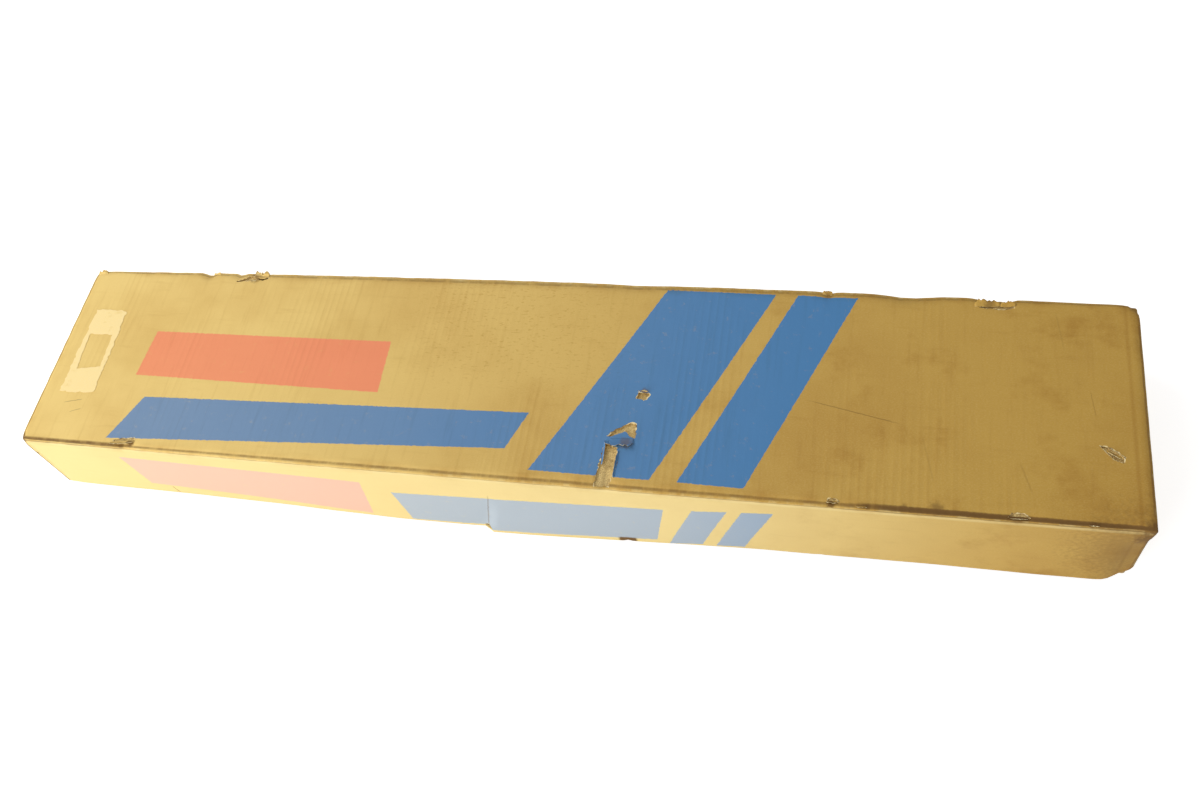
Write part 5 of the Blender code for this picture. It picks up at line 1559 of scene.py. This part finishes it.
def strap(made):
    """Moulded ribs on the carry strap and a row of stitches along each edge."""
    low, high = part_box("carry_strap")
    pitch, inset, middle = 0.0042, 0.0022, (low.z + high.z) / 2
    rib = block_unit((-0.0009, -0.0007, -0.0062), (0.0009, 0.0004, 0.0062), 0.0004)
    points = [(pitch * k, low.y, middle) for k in range(-14, 15)]
    set_out("strap_ribs", rib, (points,), "case_cover", made, "dark_plastic")
    stitch = block_unit((-0.0014, -0.0003, -0.0003), (0.0014, 0.0003, 0.0003), 0.00015)
    points = [(pitch * k, low.y - 0.00005, z) for k in range(-17, 18) for z in (low.z + inset, high.z - inset)]
    set_out("strap_stitches", stitch, (points,), "case_cover", made, "dark_plastic", "grey_plastic")


FOAM_VOXEL, BEADS_A_METRE = 0.0018, 230.0


def foam_ends(made):
    """The foam blocks with their beads and bruised edges."""
    for node in ("foam_end_left", "foam_end_right"):
        mesh = frame["nodes"][node].data.copy()
        mend(mesh, WELD)
        piece = link(bpy.data.objects.new(node + "_beads", mesh))
        remesh = piece.modifiers.new("even", "REMESH")
        remesh.mode, remesh.voxel_size = "VOXEL", FOAM_VOXEL
        piece = converted(piece, node + "_beads")
        for vertex in piece.data.vertices:
            near = noise.voronoi(vertex.co * BEADS_A_METRE)[0]
            dent = 0.00045 * min(1.0, near[0] / 0.7) + 0.0004 * max(0.0, noise.noise(vertex.co * 45.0))
            vertex.co -= vertex.normal * dent
        piece.data.materials.clear()
        piece.data.materials.append(made["bead_foam"])
        piece.data.shade_smooth()
        placed(piece, "carton_tray", "foam", node)


# ---------------------------------------------------------------- settings

def colour(name, description, red, green, blue):
    return bpy.props.FloatVectorProperty(
        name=name, description=description, subtype="COLOR", size=4, min=0, max=1,
        default=(red, green, blue, 1.0),
    )


def length(name, description, value, low=0.0, high=10.0):
    return bpy.props.FloatProperty(
        name=name, description=description, default=value, min=low, max=high, precision=4,
        unit="LENGTH", subtype="DISTANCE",
    )


class CartonSettings(bpy.types.PropertyGroup):
    """Sizes and colours of the board carton."""

    # The left and right kraft colours hold painted light: the left one is faded liner painted lit from the left, the
    # right one darker liner with painted shade.
    kraft_left: colour("Kraft, left", "Faded kraft liner at the left end", 0.800, 0.575, 0.195)
    kraft_right: colour("Kraft, right", "Kraft liner at the right end", 0.520, 0.310, 0.058)
    # Also the colour of the painted highlight below the front fold and of the painted light on the front.
    kraft_pale: colour("Kraft, pale", "Rubbed and faded fibres of the liner", 0.860, 0.700, 0.330)
    tint: colour("Tint", "What streaks, stains and handling multiply the liner by", 0.720, 0.600, 0.400)
    # Dirt, and also the colour of painted shade: in the fold grooves, along the folds, over the front right corner and
    # at torn rims.
    score: colour("Score", "Dirt in the scored folds", 0.155, 0.078, 0.018)
    red_ink: colour("Red ink", "Plain red band", 0.850, 0.240, 0.130)
    blue_ink: colour("Blue ink", "Plain blue bands", 0.050, 0.210, 0.455)
    # The pale the front's ink is mixed towards: partly faded print, partly painted light on the front.
    faded_ink: colour("Faded ink", "What the print on the front fades towards", 0.790, 0.760, 0.640)
    liner_light: colour("Inner liner, light", "Plain liner inside", 0.520, 0.370, 0.190)
    liner_dark: colour("Inner liner, dark", "Plain liner inside, darker", 0.400, 0.270, 0.125)
    raw_light: colour("Raw board, light", "Torn fluting", 0.860, 0.660, 0.280)
    raw_dark: colour("Raw board, dark", "Torn fluting in its valleys", 0.380, 0.240, 0.090)
    torn_pale: colour("Torn ply", "Pale plies round a tear", 0.860, 0.740, 0.480)
    label: colour("Label", "Remains of a paper label", 0.920, 0.710, 0.320)
    board_step: length("Grid step", "Spacing of the board's grid", 0.0052, 0.002, 0.02)
    fold_radius: length("Fold radius", "Outer radius of the folds", 0.0026, 0.001, 0.004)
    rim_depth: length("Rim depth", "Depth to which a rim is open", 0.0050, 0.002, 0.02)
    flute_pitch: length("Flute pitch", "From one flute to the next", 0.0075, 0.004, 0.012)


class StageSettings(bpy.types.PropertyGroup):
    """The floor, the lamps and the camera."""

    lens: bpy.props.FloatProperty(
        name="Lens", description="Focal length in millimetres", default=33.60, min=10, max=200,
    )
    key_power: bpy.props.FloatProperty(
        name="Key lamp", description="Power of the lamp at the front left", default=60.0, min=0, unit="POWER",
    )
    fill_power: bpy.props.FloatProperty(
        name="Fill lamp", description="Power of the lamp above", default=30.0, min=0, unit="POWER",
    )
    sky: bpy.props.FloatProperty(
        name="Sky", description="Strength of the even light from all round", default=0.42, min=0,
    )


# ---------------------------------------------------------------- operators

GRAINED = {  # light and dark colour, roughness, and what else grained() is told
    "paper": ((0.82, 0.78, 0.66), (0.66, 0.58, 0.40), 0.75, {"patchy": 0.4}),
    "card_plastic": ((0.66, 0.72, 0.78), (0.52, 0.58, 0.64), 0.35, {}),
    "cream_enamel": ((0.74, 0.69, 0.55), (0.58, 0.52, 0.38), 0.32,
                     {"scale": 420.0, "depth": 0.00005, "coat": 0.3, "worn": (0.30, 0.26, 0.20)}),
    "bright_steel": ((0.62, 0.63, 0.64), (0.45, 0.45, 0.46), 0.20, {"metal": 1.0, "scale": 1500.0, "depth": 0.00001}),
    "zinc_steel": ((0.50, 0.51, 0.52), (0.36, 0.37, 0.38), 0.34,
                   {"metal": 1.0, "stretch": (60.0, 1400.0, 400.0), "depth": 0.00002}),
    "cream_plastic": ((0.78, 0.73, 0.60), (0.64, 0.57, 0.42), 0.42, {"scale": 1600.0, "depth": 0.00003}),
    "blue_plastic": ((0.10, 0.24, 0.42), (0.07, 0.16, 0.30), 0.22, {"scale": 1200.0, "depth": 0.00001, "coat": 0.3}),
    "dark_plastic": ((0.045, 0.045, 0.055), (0.09, 0.09, 0.09), 0.45, {"scale": 1600.0}),
    "grey_plastic": ((0.35, 0.36, 0.37), (0.26, 0.27, 0.28), 0.50, {"scale": 1400.0}),
    "rubber": ((0.03, 0.03, 0.03), (0.08, 0.08, 0.075), 0.75, {"scale": 700.0}),
    "nylon_brush": ((0.07, 0.07, 0.08), (0.12, 0.12, 0.13), 0.5, {}),
    "red_mark": ((0.62, 0.06, 0.04), (0.48, 0.05, 0.03), 0.4, {"scale": 1500.0}),
    "cover_card": ((0.74, 0.66, 0.38), (0.62, 0.52, 0.26), 0.55, {"patchy": 0.4}),
}
FINISHES = {}


def finishes(context):
    """Every material by name, made once."""
    if not FINISHES:
        for make in (board_outside, board_inside, board_raw, torn_fringe, old_label):
            FINISHES[make.__name__] = make(context.scene.carton)
        FINISHES["bead_foam"] = FINISHES["foam"] = bead_foam()
        for name, (light, dark, rough, others) in GRAINED.items():
            FINISHES[name] = grained(name, light, dark, rough, **others)
    return FINISHES


class CARTON_OT_lid(bpy.types.Operator):
    """Make the worn lid of corrugated board"""

    bl_idname = "carton.lid"
    bl_label = "Lid"

    def execute(self, context):
        build_lid(context.scene.carton, finishes(context))
        return {"FINISHED"}


class CARTON_OT_tray(bpy.types.Operator):
    """Make the tray that the lid slides over"""

    bl_idname = "carton.tray"
    bl_label = "Tray"

    def execute(self, context):
        build_tray(context.scene.carton, finishes(context))
        return {"FINISHED"}


class CARTON_OT_scars(bpy.types.Operator):
    """Add the torn flaps, the remains of a label and the staples to the lid"""

    bl_idname = "carton.scars"
    bl_label = "Flaps, Label and Staples"

    def execute(self, context):
        made = finishes(context)
        torn_flaps(made)
        label_remains(made)
        staples(made)
        return {"FINISHED"}


class MACHINE_OT_finishes(bpy.types.Operator):
    """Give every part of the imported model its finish"""

    bl_idname = "machine.finishes"
    bl_label = "Finishes"

    def execute(self, context):
        made = finishes(context)
        for row in frame["record"]["subparts"]:
            if row["material_slot"] in made:
                node = frame["nodes"][row["node"]]
                node.data.materials.clear()
                node.data.materials.append(made[row["material_slot"]])
        return {"FINISHED"}


class MACHINE_OT_bed(bpy.types.Operator):
    """Make the needles, the ribs between them and the pegs in front"""

    bl_idname = "machine.bed"
    bl_label = "Needle Bed"

    def execute(self, context):
        needles(finishes(context))
        bed_ribs(finishes(context))
        return {"FINISHED"}


class MACHINE_OT_screws(bpy.types.Operator):
    """Make the slotted screws"""

    bl_idname = "machine.screws"
    bl_label = "Screws"

    def execute(self, context):
        screws(finishes(context))
        return {"FINISHED"}


class MACHINE_OT_grips(bpy.types.Operator):
    """Make the ridges of the knobs and the handle's grip"""

    bl_idname = "machine.grips"
    bl_label = "Grips"

    def execute(self, context):
        grips(finishes(context))
        return {"FINISHED"}


class MACHINE_OT_brushes(bpy.types.Operator):
    """Make the bristle wheels under the sinker arm"""

    bl_idname = "machine.brushes"
    bl_label = "Brush Wheels"

    def execute(self, context):
        brushes(finishes(context))
        return {"FINISHED"}


class MACHINE_OT_scales(bpy.types.Operator):
    """Make the needle numbers and the dial's and the counter's figures"""

    bl_idname = "machine.scales"
    bl_label = "Scales"

    def execute(self, context):
        scales(finishes(context))
        return {"FINISHED"}


class CASE_OT_papers(bpy.types.Operator):
    """Make the booklet and the punch cards"""

    bl_idname = "case.papers"
    bl_label = "Papers"

    def execute(self, context):
        booklet(finishes(context))
        card_pack(finishes(context))
        return {"FINISHED"}


class CASE_OT_strap(bpy.types.Operator):
    """Make the carry strap's ribs and stitches"""

    bl_idname = "case.strap"
    bl_label = "Strap"

    def execute(self, context):
        strap(finishes(context))
        return {"FINISHED"}


class CARTON_OT_foam(bpy.types.Operator):
    """Make the foam blocks at both ends"""

    bl_idname = "carton.foam"
    bl_label = "Foam Ends"

    def execute(self, context):
        foam_ends(finishes(context))
        return {"FINISHED"}


class STAGE_OT_studio(bpy.types.Operator):
    """Set up the white floor, the lamps and the camera"""

    bl_idname = "stage.studio"
    bl_label = "Studio"

    def execute(self, context):
        settings = context.scene.stage
        floor()
        lamps(settings)
        camera(settings)
        context.scene.view_settings.view_transform = "Standard"
        return {"FINISHED"}


def seen_white(nodes):
    """1 for rays that see the background directly, in a gloss or through glass."""
    path = nodes.tree.nodes.new("ShaderNodeLightPath")
    seen = nodes.math("MAXIMUM", path.outputs["Is Camera Ray"], path.outputs["Is Glossy Ray"])
    return nodes.math("MAXIMUM", seen, path.outputs["Is Transmission Ray"])


FLOOR_HALF, FLOOR_GREY = 30.0, 0.72


def floor():
    """A wide white floor that keeps a soft shadow."""
    half = FLOOR_HALF
    plane = mesh_piece("floor", [(-half, -half, 0), (half, -half, 0), (half, half, 0), (-half, half, 0)],
                       [(0, 1, 2, 3)], [])
    material = bpy.data.materials.new("white_floor")
    material.use_nodes = True
    material.node_tree.nodes.clear()
    nodes = Nodes(material.node_tree)
    matt = nodes.add("ShaderNodeBsdfDiffuse", {"Color": rgb(FLOOR_GREY, FLOOR_GREY, FLOOR_GREY)})
    lift = nodes.add("ShaderNodeEmission", {"Color": rgb(1, 1, 1), "Strength": FLOOR_GREY})
    both = nodes.add("ShaderNodeAddShader", {0: matt, 1: lift})
    seen = nodes.add("ShaderNodeMixShader", {0: seen_white(nodes), 1: matt, 2: both})
    nodes.add("ShaderNodeOutputMaterial", {0: seen})
    plane.data.materials.append(material)


LAMPS = (  # name, place, what it is aimed at, diameter, the setting for its power
    ("key_lamp", (-1.5, -2.3, 0.9), (-0.15, 0, 0.05), 1.8, "key_power"),
    ("fill_lamp", (-1.6, 0.3, 2.2), (-0.2, 0, 0), 2.0, "fill_power"),
)


def lamps(settings):
    """A large soft lamp at the front left, a weaker one above, and even light from all round."""
    for name, place, aim, size, power in LAMPS:
        data = bpy.data.lights.new(name, "AREA")
        data.shape, data.size, data.energy = "DISK", size, getattr(settings, power)
        lamp = link(bpy.data.objects.new(name, data))
        lamp.location = place
        lamp.rotation_euler = (Vector(aim) - Vector(place)).to_track_quat("-Z", "Y").to_euler()
    world = bpy.data.worlds.new("studio")
    world.use_nodes = True
    world.node_tree.nodes.clear()
    nodes = Nodes(world.node_tree)
    strength = nodes.ways(seen_white(nodes), settings.sky, 1.0)
    back = nodes.add("ShaderNodeBackground", {"Color": rgb(1, 1, 1), "Strength": strength})
    nodes.add("ShaderNodeOutputWorld", {0: back})
    bpy.context.scene.world = world


VIEW_PLACE, VIEW_TURN, VIEW_SHIFT = (0.3205, -0.5805, 1.0645), (0.5515, 0.2016, 0.1916), 0.05


def camera(settings):
    data = bpy.data.cameras.new("camera")
    data.lens, data.sensor_width, data.shift_x = settings.lens, 36.0, VIEW_SHIFT
    data.clip_start, data.clip_end = 0.01, 100
    view = link(bpy.data.objects.new("camera", data))
    view.location, view.rotation_euler = VIEW_PLACE, VIEW_TURN
    bpy.context.scene.camera = view


class CARTON_PT_panel(bpy.types.Panel):
    """Lists the sizes, the colours and the steps"""

    bl_label = "Carton"
    bl_idname = "CARTON_PT_panel"
    bl_space_type = "VIEW_3D"
    bl_region_type = "UI"
    bl_category = "Carton"

    def draw(self, context):
        for group in (context.scene.carton, context.scene.stage):
            column = self.layout.column()
            for name in group.__annotations__:
                column.prop(group, name)
        for step in STEPS:
            self.layout.operator(step)


STEPS = ("stage.studio", "machine.finishes", "carton.lid", "carton.tray", "carton.scars", "carton.foam",
         "machine.bed", "machine.screws", "machine.grips", "machine.brushes", "machine.scales", "case.papers",
         "case.strap")
CLASSES = (
    CartonSettings, StageSettings, CARTON_OT_lid, CARTON_OT_tray, CARTON_OT_scars, MACHINE_OT_finishes,
    STAGE_OT_studio, MACHINE_OT_bed, MACHINE_OT_screws, MACHINE_OT_grips, MACHINE_OT_brushes, MACHINE_OT_scales,
    CASE_OT_papers, CASE_OT_strap, CARTON_OT_foam, CARTON_PT_panel,
)


def register():
    for item in CLASSES:
        bpy.utils.register_class(item)
    bpy.types.Scene.carton = bpy.props.PointerProperty(type=CartonSettings)
    bpy.types.Scene.stage = bpy.props.PointerProperty(type=StageSettings)


def unregister():
    del bpy.types.Scene.stage
    del bpy.types.Scene.carton
    for item in reversed(CLASSES):
        bpy.utils.unregister_class(item)


def main():
    register()
    for step in STEPS:
        group, name = step.split(".")
        getattr(getattr(bpy.ops, group), name)()


if __name__ == "__main__":
    main()
